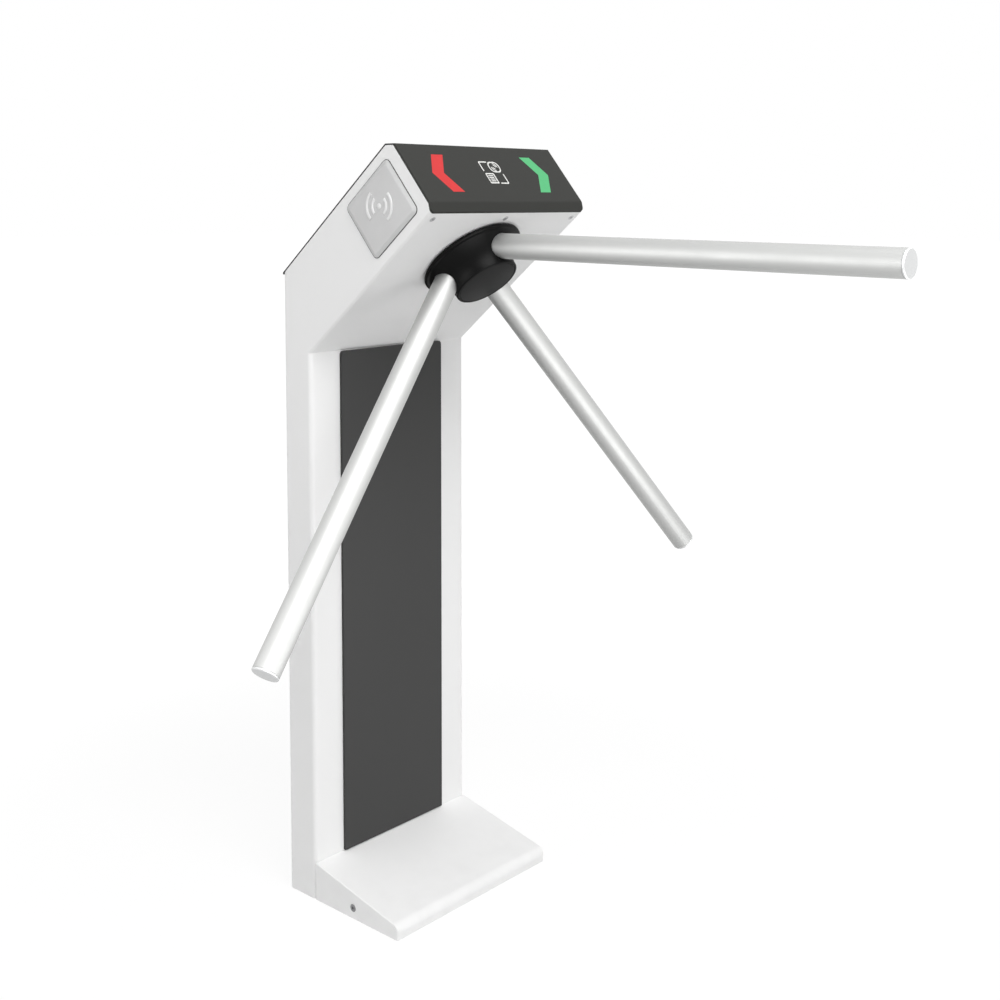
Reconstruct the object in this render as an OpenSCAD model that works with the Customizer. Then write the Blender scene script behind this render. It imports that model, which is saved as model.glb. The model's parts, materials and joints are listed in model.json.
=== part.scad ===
// Slim tripod turnstile: a folded sheet column with a sloping head, a three-armed rotor that
// hangs square to the head's underside, and the locking and drive mechanism inside the head.
// The origin is on the floor, at the centre of the base plate's anchor holes. +X is the way
// the barrier arm points, +Y is the way people walk, +Z is up. All sizes are millimetres.

/* [Cabinet] */
// Width of the cabinet, across the barrier arm
cab_w = 288; // [270:1:340]
// Depth of the column from front to back
col_d = 53; // [46:1:80]
// Height of the column's front, from the floor to the head's underside
col_h = 730; // [640:1:860]
// Thickness of the folded steel sheet
sheet_t = 2; // [1.5:0.1:3]
// Outside radius of the column's vertical folds
fold_r = 6; // [4:0.5:9]
// Outside radius of the folds along the head's underside
under_r = 4; // [3:0.5:6]

/* [Head] */
// Slope of the head above the horizontal, in degrees
head_tilt = 40; // [35:1:48]
// From the column's front up the slope to the hub's axis
hub_run = 193; // [170:1:230]
// From the hub's axis up the slope to the end panel's face
nose_run = 95; // [90:1:120]
// Length of the level flat at the head's highest edge
apex_flat = 16; // [12:1:22]
// Height of the end panel's lip, square to the underside
lip_h = 11; // [8:1:15]
// How far the lip leans back towards the column
lip_lean = 5.5; // [3:0.5:8]
// Thickness of the dark lid
lid_t = 2; // [1.5:0.1:3]
// Thickness of the end panel
end_t = 3; // [2:0.5:4]
// Corner radius of the end panel
end_r = 5; // [3:0.5:9]
// How far the bend above the end panel's lip reaches each way
lip_bend = 1.6; // [0.5:0.1:3]
// Free height between the rotor's shaft end and the lid
top_room = 11.8; // [4:0.1:25]

/* [Indicators] */
// Height of a chevron lens on the end panel
chevron_h = 59; // [45:1:70]
// Width of a chevron's stroke
chevron_w = 20; // [14:1:26]
// How far a chevron's point stands out from its ends
chevron_point = 17; // [10:1:24]
// From a side of the end panel to a chevron's point
chevron_side = 35; // [20:1:50]

/* [Reader pads] */
// Length of a reader pad along the slope
pad_l = 94; // [70:1:110]
// Height of a reader pad, square to the slope
pad_h = 82; // [60:1:88]
// How far a reader pad stands out from the side
pad_t = 3; // [2:0.5:5]
// Corner radius of a reader pad
pad_r = 7; // [4:1:14]
// From the end panel's face back to a reader pad
pad_inset = 20.5; // [17:0.5:40]

/* [Foot] */
// Length of the foot in front of the column
foot_len = 154; // [130:1:200]
// Height of the foot cover where it meets the column
foot_h = 50.5; // [42:0.5:70]
// Height at which the foot's slope would reach its front
foot_nose_h = 18; // [15:0.5:26]
// Radius of the fold at the foot's front
foot_r = 12; // [8:0.5:14]
// Radius of the folds along the foot cover's slope edges and front corners
foot_edge_r = 2.5; // [1:0.5:4]
// From the column's front to the foot cover's side screws
foot_screw_x = 72; // [50:1:100]
// Height of the foot cover's side screws above the floor
foot_screw_z = 14; // [11:0.5:20]

/* [Base plate] */
// Thickness of the steel base plate
base_t = 8; // [6:0.5:10]
// Spacing of the anchor holes along the barrier arm's direction
anchor_x = 150; // [140:1:160]
// Spacing of the anchor holes along the walking direction
anchor_y = 220; // [180:1:230]
// Diameter of the anchor holes
anchor_d = 13; // [10:0.5:15]
// Diameter of the free hole in the cable grommet
cable_d = 30; // [20:1:34]

/* [Front panel] */
// Width of the dark front panel
panel_w = 188; // [160:1:220]
// Thickness of the front panel
panel_t = 4; // [3:0.5:6]
// Radius of the front panel's corners
panel_r = 5; // [2:0.5:10]
// Gap between the front panel and what lies above and below it
panel_gap = 1; // [0.5:0.1:2]
// Width of the service window behind the front panel
window_w = 150; // [130:1:152]
// From the front panel's ends to the service window
window_margin = 60; // [40:1:120]

/* [Arms] */
// Outside diameter of an arm
arm_d = 32; // [28:0.5:36]
// Wall of an arm's tube
arm_wall = 2; // [1.5:0.1:3]
// From the point where the three axes meet to an arm's end
arm_reach = 603; // [480:1:640]
// How far the barrier arm hangs below the horizontal, in degrees
arm_droop = 0.6; // [0:0.1:2]
// Depth of that point inside the head's underside
axes_depth = 19.5; // [17:0.5:22]
// From that point to the inner end of an arm's tube
arm_start = 38; // [36:0.5:42]
// Thickness of the end cap's disc
cap_t = 3; // [2:0.5:5]
// Length of the end cap's plug inside the tube
plug_l = 14; // [8:1:30]

/* [Hub] */
// Radius of the hub's flange
flange_r = 69; // [66:0.5:76]
// Thickness of the hub's flange
flange_t = 5; // [4:0.5:6]
// Gap between the head's underside and the flange
hub_gap = 1.5; // [1:0.1:3]
// How far the hub hangs below the underside
hub_drop = 43; // [42:0.5:48]
// Radius of the hub's front cap
nose_r = 43; // [42:0.5:46]
// Radius of the hub shell's neck just under the flange
neck_r = 64; // [62:0.5:66]
// Wall of the hub shell
shell_t = 3; // [2:0.5:3.5]
// Thickness of the front cap's disc
nose_cap_t = 2.5; // [2:0.5:4]
// Radius of the hub core where it passes through the underside
core_r = 44; // [43:0.5:46]
// How far the hub core rises inside the underside
core_rise = 11; // [9:0.5:14]
// Distance of the arm bolts from the hub's axis
arm_bolt_r = 32; // [30:0.5:33]

/* [Shaft and bearings] */
// Diameter of the main shaft
shaft_d = 20; // [17:1:22]
// Outside diameter of a main bearing
bearing_d = 47; // [44:1:52]
// Width of a main bearing
bearing_w = 14; // [12:1:16]
// Distance between the two bearings
bearing_apart = 16; // [12:1:24]
// Wall of the bearing housing
housing_wall = 6.5; // [4:0.5:9]
// Thickness of the housing's flange
housing_flange_t = 5; // [4:0.5:8]
// Thickness of the mechanism's chassis plate
chassis_t = 6; // [4:0.5:8]

/* [Locking] */
// Radius of the lock wheel
lock_r = 55; // [50:0.5:57]
// Thickness of the lock wheel
lock_t = 8; // [6:0.5:10]
// Number of notches in the lock wheel
notches = 12; // [12, 24]
// Depth of a notch
notch_deep = 7; // [6.5:0.5:9]
// Width of a notch at the rim
notch_w = 13; // [12:0.5:14]
// From a pawl's pivot to its nose, along the wheel's rim
pawl_lever = 40; // [36:1:46]
// How far a pawl's pivot lies outside the wheel's rim
pawl_off = 8; // [7:0.5:12]
// Swing of a pawl from free to locked, in degrees
pawl_swing = 10; // [9:0.5:12]
// From a pawl's pivot to the pin of its solenoid
pawl_tail = 22; // [20:1:30]

/* [Drive] */
// Module of the drive teeth
tooth_m = 2; // [1.5:0.25:2.25]
// Teeth of the drive gear
gear_z = 60; // [48:6:66]
// Teeth of the pinion
pinion_z = 12; // [12:1:16]
// Face width of the gear and the pinion
gear_w = 10; // [8:0.5:12]
// Diameter of the gearmotor's output shaft
motor_shaft_d = 8; // [6:0.5:8]
// Diameter of the motor's can
can_d = 32; // [26:1:33]
// Length of the motor's can
can_l = 60; // [40:1:68]
// Diameter of the encoder disc
encoder_d = 136; // [134:1:142]

/* [Electrics] */
// Length of the power supply
supply_l = 160; // [120:1:190]
// Width of the power supply
supply_w = 98; // [70:1:110]
// Depth of the power supply
supply_d = 36; // [24:1:37]
// Length of the control board
board_l = 190; // [150:1:220]
// Width of the control board
board_w = 120; // [90:1:140]

/* [Hidden] */
$fn = 48;

// Clearances, and the overrun of every cut
over = 1;
fit = 0.3;
snug = 0.05;
run = 0.06;
slip = 0.8;

// Plan of the column and the foot
base_len = col_d + foot_len;
col_front = col_d - base_len / 2;
col_back = -base_len / 2;
foot_front = base_len / 2;
half_w = cab_w / 2;
inner_w = half_w - sheet_t;

// Stack of the mechanism, measured square to the underside and into the head
spacer = 3;
seat_lip = 2;
lower_bearing = core_rise + 4 * snug + spacer;
upper_bearing = lower_bearing + bearing_w + bearing_apart;
housing_low = lower_bearing - seat_lip;
housing_top = upper_bearing + bearing_w + seat_lip;
chassis_top = housing_top - housing_flange_t;
chassis_low = chassis_top - chassis_t;
lock_low = housing_top + spacer;
gear_low = lock_low + lock_t + spacer;
encoder_low = gear_low + gear_w + spacer;
encoder_t = 1.5;
nut_t = 8;
nut_low = encoder_low + encoder_t;
shaft_top = nut_low + nut_t + encoder_t;
head_t = shaft_top + top_room + lid_t;
head_len = hub_run + nose_run;
centre_dist = tooth_m * (gear_z + pinion_z) / 2;

// Outline of the head in its own slope frame: s runs up the slope, n square to it
side_n = head_t - lid_t;
side_s = head_len - end_t;
flat_s = head_len - apex_flat * cos(head_tilt);
flat_z = flat_s * sin(head_tilt) + head_t * cos(head_tilt);
function flat_n(s, drop) = (flat_z - drop - s * sin(head_tilt)) / cos(head_tilt);
function flat_at(n, drop) = (flat_z - drop - n * cos(head_tilt)) / sin(head_tilt);
function back_s(n) = (n * sin(head_tilt) - col_d) / cos(head_tilt);
// A point of the slope frame in the side view of the whole part
function hp(s, n) = [
    col_front + s * cos(head_tilt) - n * sin(head_tilt),
    col_h + s * sin(head_tilt) + n * cos(head_tilt)
];

// Places its children in the slope frame
module head_frame() {
    translate([col_front, 0, col_h]) rotate([0, -head_tilt, 0]) children();
}
// Places its children on the hub's axis, at the underside
module hub_frame() {
    head_frame() translate([hub_run, 0, 0]) children();
}
// Extrudes a side view across the part, centred
module across(width) {
    rotate([90, 0, 0]) linear_extrude(height = width, center = true) children();
}
// A rectangle about the origin with round corners
module round_rect(w, h, r) {
    square([w - 2 * r, h], center = true);
    square([w, h - 2 * r], center = true);
    for (x = [-1, 1], y = [-1, 1]) translate([x * (w / 2 - r), y * (h / 2 - r)]) circle(r = r);
}
// A straight bar between two points of a plane, with round ends
module bar(p, q, w) {
    run_len = norm(q - p);
    translate(p) circle(d = w);
    translate(q) circle(d = w);
    translate(p) rotate(atan2(q[1] - p[1], q[0] - p[0])) translate([0, -w / 2]) square([run_len, w]);
}
// A hexagon across flats, extruded upwards
module hex(flats, h) {
    cylinder(d = flats / cos(30), h = h, $fn = 6);
}
// A socket-head screw standing on z = 0, its shank pointing down
module cap_screw(d, l) {
    socket_share = 0.55;
    difference() {
        cylinder(d = 1.6 * d, h = d);
        translate([0, 0, (1 - socket_share) * d]) hex(0.8 * d, d);
    }
    translate([0, 0, -l]) cylinder(d = d, h = l);
}
// A countersunk screw whose face is at z = 0, its shank pointing down
module flat_screw(d, l) {
    head_share = 0.5;
    difference() {
        translate([0, 0, -head_share * d]) cylinder(d1 = d, d2 = 2 * d, h = head_share * d);
        translate([0, 0, -head_share * d / 2]) hex(0.7 * d, d);
    }
    translate([0, 0, -l]) cylinder(d = d, h = l - head_share * d);
}
// The hole that a countersunk screw sits in
module flat_screw_hole(d, l) {
    head_share = 0.5;
    translate([0, 0, -head_share * d])
        cylinder(d1 = d + 2 * fit, d2 = 2 * (d + fit), h = head_share * d);
    translate([0, 0, -snug]) cylinder(d = 2 * (d + fit), h = over);
    translate([0, 0, -l]) cylinder(d = d + 2 * fit, h = l);
}

// Cabinet values
window_h = col_h - foot_h - 2 * window_margin;
window_z = foot_h + window_margin;
arm_spread = 90 - head_tilt - arm_droop;
arm_r = arm_d / 2;
// Where an arm's upper side passes the underside, measured from the hub's axis
arm_out_r = (axes_depth + arm_r * sin(arm_spread)) * tan(arm_spread) + arm_r * cos(arm_spread);
hub_hole_r = spacer + max(core_r, arm_out_r);
slot_h = base_t + slip;
clip_d = 8;
clip_y = window_w / 2 + clip_d;
clip_inset = 30;
clip_zs = [foot_h + clip_inset, foot_h + (col_h - foot_h) / 2, col_h - clip_inset];
end_screw_d = 4;
end_screw_in = 14;
end_screw_side = 13;
end_screw_s = head_len - lip_lean - end_screw_in;
end_screw_y = half_w - end_screw_side;
lid_screw_d = 4;
lid_screw_side = 48;
lid_screw_y = half_w - lid_screw_side;
lid_screw_drop = 14;
bracket_t = 1.5;
bracket_foot = 17;
pad_lip = 6;
pad_s = head_len - pad_inset - pad_l / 2;
pad_n = head_t / 2;

// Column: a tall prism with its four vertical edges folded
module column_prism(inset, low, high) {
    translate([col_front - col_d / 2, 0, low])
        linear_extrude(height = high - low)
            round_rect(col_d - 2 * inset, cab_w - 2 * inset, fold_r - inset);
}
// Head: a prism along the slope whose two lower edges are folded
module head_prism(inset, s0, s1, top) {
    head_frame() translate([s0, 0, 0]) rotate([90, 0, 90]) linear_extrude(height = s1 - s0) {
        translate([-half_w + inset, under_r]) square([cab_w - 2 * inset, top - under_r]);
        translate([-half_w + under_r, inset]) square([cab_w - 2 * under_r, top - inset]);
        for (y = [-1, 1]) translate([y * (half_w - under_r), under_r]) circle(r = under_r - inset);
    }
}
// Side view that trims the white cabinet under the lid and behind the end panel. Elsewhere
// it lies outside the two prisms.
module cabinet_outline() {
    lean_s = side_s - lip_lean * (lip_h + over) / lip_h;
    polygon([
        [col_back - over, -over], [hp(0, -over)[0], -over], hp(0, -over), hp(lean_s, -over),
        hp(side_s, lip_h), hp(side_s, flat_n(side_s, lid_t)), hp(flat_at(side_n, lid_t), side_n),
        hp(back_s(side_n) - over, side_n)
    ]);
}
// Keeps what lies in front of the column's folded front edges
module ahead_of_fold(setback) {
    reach = head_len + head_t;
    intersection() {
        children();
        translate([col_front - setback, -half_w - over, col_h - reach])
            cube([reach, cab_w + 2 * over, 3 * reach]);
    }
}
module cabinet() color("white") {
    tall = col_h + head_len + head_t;
    back_run = back_s(0) - head_t;
    difference() {
        intersection() {
            across(cab_w + 2 * over) cabinet_outline();
            union() {
                column_prism(0, 0, tall);
                ahead_of_fold(2 * fold_r) head_prism(0, back_run, head_len, head_t);
            }
        }
        column_prism(sheet_t, -over, tall);
        ahead_of_fold(2 * fold_r) head_prism(sheet_t, back_run, head_len + over, head_t + over);
        // Slot for the base plate in the front wall
        translate([col_front - 2 * sheet_t, -inner_w + fold_r, -over])
            cube([3 * sheet_t, 2 * (inner_w - fold_r), slot_h + over]);
        // Service window and the holes of the panel's clips
        translate([col_front - 2 * sheet_t, -window_w / 2, window_z])
            cube([3 * sheet_t, window_w, window_h]);
        for (y = [-1, 1], z = clip_zs)
            translate([col_front - 2 * sheet_t, y * clip_y, z]) rotate([0, 90, 0])
                cylinder(d = clip_d + 2 * fit, h = 3 * sheet_t);
        // Hole for the hub, and the three screws behind the lip
        hub_frame() translate([0, 0, -over]) cylinder(r = hub_hole_r, h = sheet_t + 2 * over, $fn = 96);
        for (y = [-1, 0, 1]) head_frame() translate([end_screw_s, y * end_screw_y, 0])
            mirror([0, 0, 1]) flat_screw_hole(end_screw_d, 2 * sheet_t);
        // Windows behind the two reader pads
        head_frame() translate([pad_s, 0, pad_n]) rotate([90, 0, 0])
            linear_extrude(height = cab_w + 2 * over, center = true)
                round_rect(pad_l - 2 * pad_lip, pad_h - 2 * pad_lip, pad_r);
        // Screws of the lid, through the back wall
        for (y = [-1, 1]) translate([col_back - over, y * lid_screw_y,
            hp(back_s(side_n), side_n)[1] - lid_screw_drop])
            rotate([0, 90, 0]) cylinder(d = lid_screw_d + 2 * fit, h = sheet_t + 2 * over);
    }
}

// Base plate values
plate_front = foot_front - sheet_t - slip;
plate_back = col_back + sheet_t + fit;
plate_w = inner_w - fit;
lug_l = 18;
lug_t = 10;
lug_over = 8;
lug_h = foot_screw_z + lug_over;
foot_screw_d = 5;
grommet_wall = 3;
grommet_lip = 3;
grommet_rim_t = 2;
cable_x = col_front - col_d / 2;
earth_d = 6;
earth_apart = 30;
earth_pos = [cable_x, -(cable_d / 2 + earth_apart)];
module base_plate() color("silver") difference() {
    union() {
        translate([plate_back, -plate_w + fold_r, 0])
            cube([plate_front - plate_back, 2 * (plate_w - fold_r), base_t]);
        translate([plate_back + fold_r, -plate_w, 0])
            cube([col_front - sheet_t - plate_back - 2 * fold_r, 2 * plate_w, base_t]);
        translate([col_front + sheet_t, -plate_w, 0])
            cube([plate_front - col_front - sheet_t, 2 * plate_w, base_t]);
        // Lugs that the foot cover is screwed to
        for (y = [-1, 1]) translate([col_front + foot_screw_x - lug_l / 2,
            y > 0 ? plate_w - lug_t : -plate_w, 0])
            cube([lug_l, lug_t, lug_h]);
    }
    for (x = [-1, 1], y = [-1, 1]) translate([x * anchor_x / 2, y * anchor_y / 2, -over])
        cylinder(d = anchor_d, h = base_t + 2 * over);
    translate([cable_x, 0, -over]) cylinder(d = cable_d + 2 * grommet_wall, h = base_t + 2 * over);
    for (y = [-1, 1]) translate([col_front + foot_screw_x, y * half_w, foot_screw_z])
        rotate([-90 * y, 0, 0]) {
        flat_screw_hole(foot_screw_d, 2 * sheet_t);
        cylinder(d = foot_screw_d + 2 * snug, h = 4 * lug_t, center = true);
    }
    translate([earth_pos[0], earth_pos[1], -over]) cylinder(d = earth_d, h = base_t + 2 * over);
}
module cable_grommet() color("#222222") translate([cable_x, 0, 0]) difference() {
    union() {
        translate([0, 0, snug]) cylinder(d = cable_d + 2 * grommet_wall - 2 * snug, h = base_t);
        translate([0, 0, base_t])
            cylinder(d = cable_d + 2 * (grommet_wall + grommet_lip), h = grommet_rim_t);
    }
    translate([0, 0, -over]) cylinder(d = cable_d, h = base_t + grommet_rim_t + 2 * over);
}
module earth_stud() color("goldenrod") translate([earth_pos[0], earth_pos[1], 0]) {
    stud_h = 22;
    nut_h = 5;
    flats = 10;
    translate([0, 0, snug]) cylinder(d = earth_d - 2 * snug, h = stud_h);
    translate([0, 0, base_t]) hex(flats, nut_h);
    translate([0, 0, base_t + nut_h]) cylinder(d = 2 * earth_d, h = sheet_t);
}

// Side view of the foot, drawn in by an inset, with a round fold at its front
module foot_outline(inset) {
    slope = atan((foot_h - foot_nose_h) / foot_len);
    r = foot_r - inset;
    top = foot_h - inset / cos(slope);
    front = foot_front - inset;
    cx = front - r;
    cz = top - (r + (cx - col_front) * sin(slope)) / cos(slope);
    polygon([
        [col_front + fit, 0], [front, 0], [front, cz], [cx, cz],
        [cx + r * sin(slope), cz + r * cos(slope)], [col_front + fit, top - fit * tan(slope)]
    ]);
    intersection() {
        translate([cx, cz]) circle(r = r);
        translate([cx - r, 0]) square(2 * r);
    }
}
module foot_cover() color("white") difference() {
    intersection() {
        across(cab_w + 2 * over) foot_outline(0);
        translate([foot_front - foot_len, 0, -over]) linear_extrude(height = foot_h + 2 * over)
            round_rect(2 * foot_len, cab_w, foot_edge_r);
        // The slope's own section, drawn along the slope, so that its two long edges are folds
        translate([col_front, 0, foot_h]) rotate([0, atan((foot_h - foot_nose_h) / foot_len), 0])
            translate([-foot_len, 0, fit - foot_h]) rotate([90, 0, 90])
            linear_extrude(height = 3 * foot_len) round_rect(cab_w + 2 * fit, 2 * foot_h, foot_edge_r);
    }
    difference() {
        across(2 * inner_w) foot_outline(sheet_t);
        // Flange against the column, below the slope
        flange = 12;
        translate([col_front, -half_w, foot_h - flange - 2 * sheet_t])
            cube([fit + sheet_t, cab_w, flange + 2 * sheet_t]);
    }
    // Open bottom and open back
    translate([col_front + fit + sheet_t, -inner_w, -over])
        cube([foot_len - foot_r - sheet_t, 2 * inner_w, 2 * over]);
    for (y = [-1, 1]) translate([col_front + foot_screw_x, y * half_w, foot_screw_z])
        rotate([-90 * y, 0, 0])
        flat_screw_hole(foot_screw_d, 2 * sheet_t);
}
module foot_screws() color("silver") for (y = [-1, 1])
    translate([col_front + foot_screw_x, y * (half_w - snug), foot_screw_z]) rotate([-90 * y, 0, 0])
        flat_screw(foot_screw_d, lug_t);

// Front panel, with its lower edge square and its upper corners rounded
panel_low = foot_h + panel_gap;
panel_high = col_h - panel_gap;
module front_panel() color("#4b4b4b") {
    tall = panel_high - panel_low;
    difference() {
        translate([col_front, 0, panel_low + tall / 2]) rotate([90, 0, 90])
            linear_extrude(height = panel_t) {
            round_rect(panel_w, tall, panel_r);
            translate([-panel_w / 2, -tall / 2]) square([panel_w, tall / 2]);
        }
        for (y = [-1, 1], z = clip_zs) translate([col_front - over, y * clip_y, z]) rotate([0, 90, 0])
            cylinder(d = clip_d / 2 + 2 * snug, h = over + panel_t / 2);
    }
}
module panel_clips() color("#dddddd") for (y = [-1, 1], z = clip_zs)
    translate([col_front, y * clip_y, z]) {
    barb = 6;
    rotate([0, 90, 0]) cylinder(d = clip_d / 2, h = panel_t / 2 - snug);
    rotate([0, -90, 0]) cylinder(d = clip_d, h = sheet_t + barb);
    translate([-sheet_t - barb, 0, 0]) rotate([0, -90, 0])
        cylinder(d1 = clip_d, d2 = clip_d / 2, h = barb / 2);
}

// Lid over the back slope and the level flat, with ribs that locate it between the sides
rib_h = 10;
rib_t = 1.5;
rib_back = 40;
rib_room = 14;
module lid() color("#3c3c3c") {
    rib_y = inner_w - slip - rib_t;
    back = hp(back_s(side_n), side_n);
    difference() {
        union() {
            across(cab_w) polygon([
                [col_back, hp(back_s(head_t), head_t)[1]], hp(flat_s, head_t),
                    hp(side_s, flat_n(side_s, 0)),
                hp(side_s, flat_n(side_s, lid_t)), hp(flat_at(side_n, lid_t), side_n), back
            ]);
            head_frame() for (y = [-rib_y - rib_t, rib_y])
                translate([back_s(head_t) + rib_back, y, side_n - rib_h])
                    cube([flat_s - back_s(head_t) - rib_back - rib_room, rib_t, rib_h + lid_t / 2]);
            // Flange inside the back wall
            translate([col_back + sheet_t + fit, -inner_w + fold_r, back[1] - 2 * lid_screw_drop])
                cube([sheet_t, 2 * (inner_w - fold_r),
                    2 * lid_screw_drop + lid_t + sheet_t * tan(head_tilt)]);
        }
        for (y = [-1, 1]) translate([col_back - over, y * lid_screw_y, back[1] - lid_screw_drop])
            rotate([0, 90, 0]) cylinder(d = lid_screw_d + 2 * snug, h = 4 * sheet_t);
    }
}
module lid_screws() color("silver") for (y = [-1, 1])
    translate([col_back, y * lid_screw_y, hp(back_s(side_n), side_n)[1] - lid_screw_drop])
        rotate([0, -90, 0]) {
        head_h = 2.5;
        intersection() {
            translate([0, 0, -lid_screw_d]) sphere(r = lid_screw_d + head_h);
            cylinder(r = 2 * lid_screw_d, h = head_h);
        }
        translate([0, 0, -3 * sheet_t]) cylinder(d = lid_screw_d, h = 3 * sheet_t);
    }

chevron_y = half_w - chevron_side - chevron_point - chevron_w;
// A chevron lens, seen along the slope: x is the part's Y, y is square to the underside
module chevron(side, grow) {
    mid = (lip_h + flat_n(head_len, 0)) / 2;
    w = chevron_w / 2 + grow;
    h = chevron_h / 2 + grow;
    y0 = chevron_y + chevron_w / 2;
    y1 = y0 + chevron_point;
    translate([0, mid]) polygon([
        [side * (y0 - w), h], [side * (y0 + w), h], [side * (y1 + w), 0],
        [side * (y0 + w), -h], [side * (y0 - w), -h], [side * (y1 - w), 0]
    ]);
}
// Stands a profile of the end panel on the slope frame at s
module on_end(s, t) {
    head_frame() translate([s, 0, 0]) rotate([90, 0, 90]) linear_extrude(height = t) children();
}
lens_back = 2;
// Place of the bend in the slope frame: down the lip and up the face from its corner
lip_run = norm([lip_lean, lip_h]);
function bend_at(down, up) =
    hp(head_len - lip_bend * down * lip_lean / lip_run, lip_h + lip_bend * (up - down * lip_h / lip_run));
module end_panel() color("#3a3a3a") difference() {
    top_n = flat_n(head_len, 0);
    bend_share = 0.25;
    intersection() {
        across(cab_w) polygon([
            hp(head_len - lip_lean, 0), bend_at(1, 0), bend_at(bend_share, bend_share), bend_at(0, 1),
            hp(head_len, top_n), hp(side_s, flat_n(side_s, 0)), hp(side_s, lip_h),
            hp(side_s - lip_lean, 0)
        ]);
        on_end(side_s - 2 * lip_lean, 3 * lip_lean + end_t) {
            translate([-half_w, end_r]) square([cab_w, head_t]);
            translate([-half_w + end_r, 0]) square([cab_w - 2 * end_r, head_t]);
            for (y = [-1, 1]) translate([y * (half_w - end_r), end_r]) circle(r = end_r);
        }
    }
    for (side = [-1, 1]) on_end(side_s - over, end_t + 2 * over) chevron(side, fit / 2);
}
module red_arrow_lens() color("#f04b4b") on_end(side_s - lens_back, end_t + lens_back) chevron(-1, 0);
module green_arrow_lens() color("#50d680") on_end(side_s - lens_back, end_t + lens_back) chevron(1, 0);

// Bracket behind the end panel: its foot takes the three screws, its upright holds the lamps
bracket_w = inner_w - slip;
bracket_top = flat_n(side_s, lid_t) - slip;
board_t = 1.6;
board_gap = 4;
lamp_l = 3;
module end_bracket() color("silver") difference() {
    rise = lip_h + seat_lip;
    union() {
        head_frame() translate([side_s - lip_lean - bracket_foot, -bracket_w + under_r, sheet_t])
            cube([bracket_foot, 2 * (bracket_w - under_r), bracket_t]);
        across(2 * (bracket_w - under_r)) polygon([
            hp(side_s - lip_lean - bracket_t, sheet_t), hp(side_s - lip_lean + sheet_t / 2, sheet_t),
            hp(side_s - fit, rise), hp(side_s - fit - bracket_t, rise)
        ]);
        head_frame() translate([side_s - fit - bracket_t, -bracket_w, rise])
            cube([bracket_t, 2 * bracket_w, bracket_top - rise]);
    }
    for (side = [-1, 1]) on_end(side_s - 3 * bracket_t, 4 * bracket_t) chevron(side, fit);
    for (y = [-1, 0, 1]) head_frame() translate([end_screw_s, y * end_screw_y, 0])
        cylinder(d = end_screw_d + 2 * snug, h = sheet_t + 2 * bracket_t);
}
module end_screws() color("silver") for (y = [-1, 0, 1])
    head_frame() translate([end_screw_s, y * end_screw_y, snug]) mirror([0, 0, 1]) {
        nut_h = 3;
        flat_screw(end_screw_d, sheet_t + bracket_t + nut_h + over);
        translate([0, 0, -sheet_t - bracket_t - nut_h + snug]) hex(2 * end_screw_d, nut_h);
    }
module indicator_board() color("darkgreen") {
    mid = (lip_h + flat_n(head_len, 0)) / 2;
    wide = 2 * (chevron_y + chevron_w + chevron_point - board_t);
    tall = chevron_h + 2 * board_t;
    s0 = side_s - fit - bracket_t - board_gap - board_t;
    on_end(s0, board_t) translate([0, mid]) square([wide, tall], center = true);
    for (side = [-1, 1]) on_end(s0, board_t + lamp_l) chevron(side, -lamp_l);
    // Spacers up to the bracket
    for (y = [-1, 1], n = [-1, 1])
        head_frame() translate([s0, y * chevron_y / 2, mid + n * (tall / 2 - lamp_l)])
            rotate([0, 90, 0]) cylinder(d = lamp_l, h = board_t + board_gap);
}

// Reader pads: a raised face, a boss through the side's window, and the antenna behind
pad_boss = 4;
reader_t = 1.6;
module pad_place(side) {
    head_frame() translate([pad_s, side * half_w, pad_n]) rotate([side < 0 ? 90 : -90, 0, 0])
        children();
}
module reader_pad(side) color("#d8d8d8") pad_place(side) {
    step = 1;
    linear_extrude(height = pad_t - step) round_rect(pad_l, pad_h, pad_r);
    translate([0, 0, pad_t - step]) linear_extrude(height = step)
        round_rect(pad_l - 2 * step, pad_h - 2 * step, pad_r - step);
    translate([0, 0, -sheet_t - pad_boss])
        linear_extrude(height = sheet_t + pad_boss)
            round_rect(pad_l - 2 * (pad_lip + fit), pad_h - 2 * (pad_lip + fit), pad_r - fit);
}
module reader_pad_near() reader_pad(-1);
module reader_pad_far() reader_pad(1);
module reader_board(side) color("darkgreen") pad_place(side) {
    chip = 12;
    chip_t = 2;
    translate([0, 0, -sheet_t - pad_boss - reader_t])
        linear_extrude(height = reader_t)
            square([pad_l - 4 * pad_lip, pad_h - 4 * pad_lip], center = true);
    translate([-chip / 2, -chip / 2, -sheet_t - pad_boss - reader_t - chip_t])
        cube([chip, chip, chip_t]);
}
module reader_board_near() reader_board(-1);
module reader_board_far() reader_board(1);

// Pawl geometry, in the hub's frame. The near pawl is at negative Y.
notch_step = 360 / notches;
pawl_angle = 135;
function polar(r, a) = [r * cos(a), r * sin(a)];
// Pivot of the far pawl, and the pin of its solenoid at rest
pawl_pivot = polar(lock_r + pawl_off, pawl_angle) + polar(pawl_lever, pawl_angle - 90);
pawl_pin = pawl_pivot + [0, pawl_tail];
post_d = 10;
pull = pawl_tail * sin(pawl_swing);
pawl_gap = 0.5;
pawl_low = lock_low + pawl_gap;
pawl_t = lock_t - 2 * pawl_gap;
pawl_mid = lock_low + lock_t / 2;

solenoid_w = 22;

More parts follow.
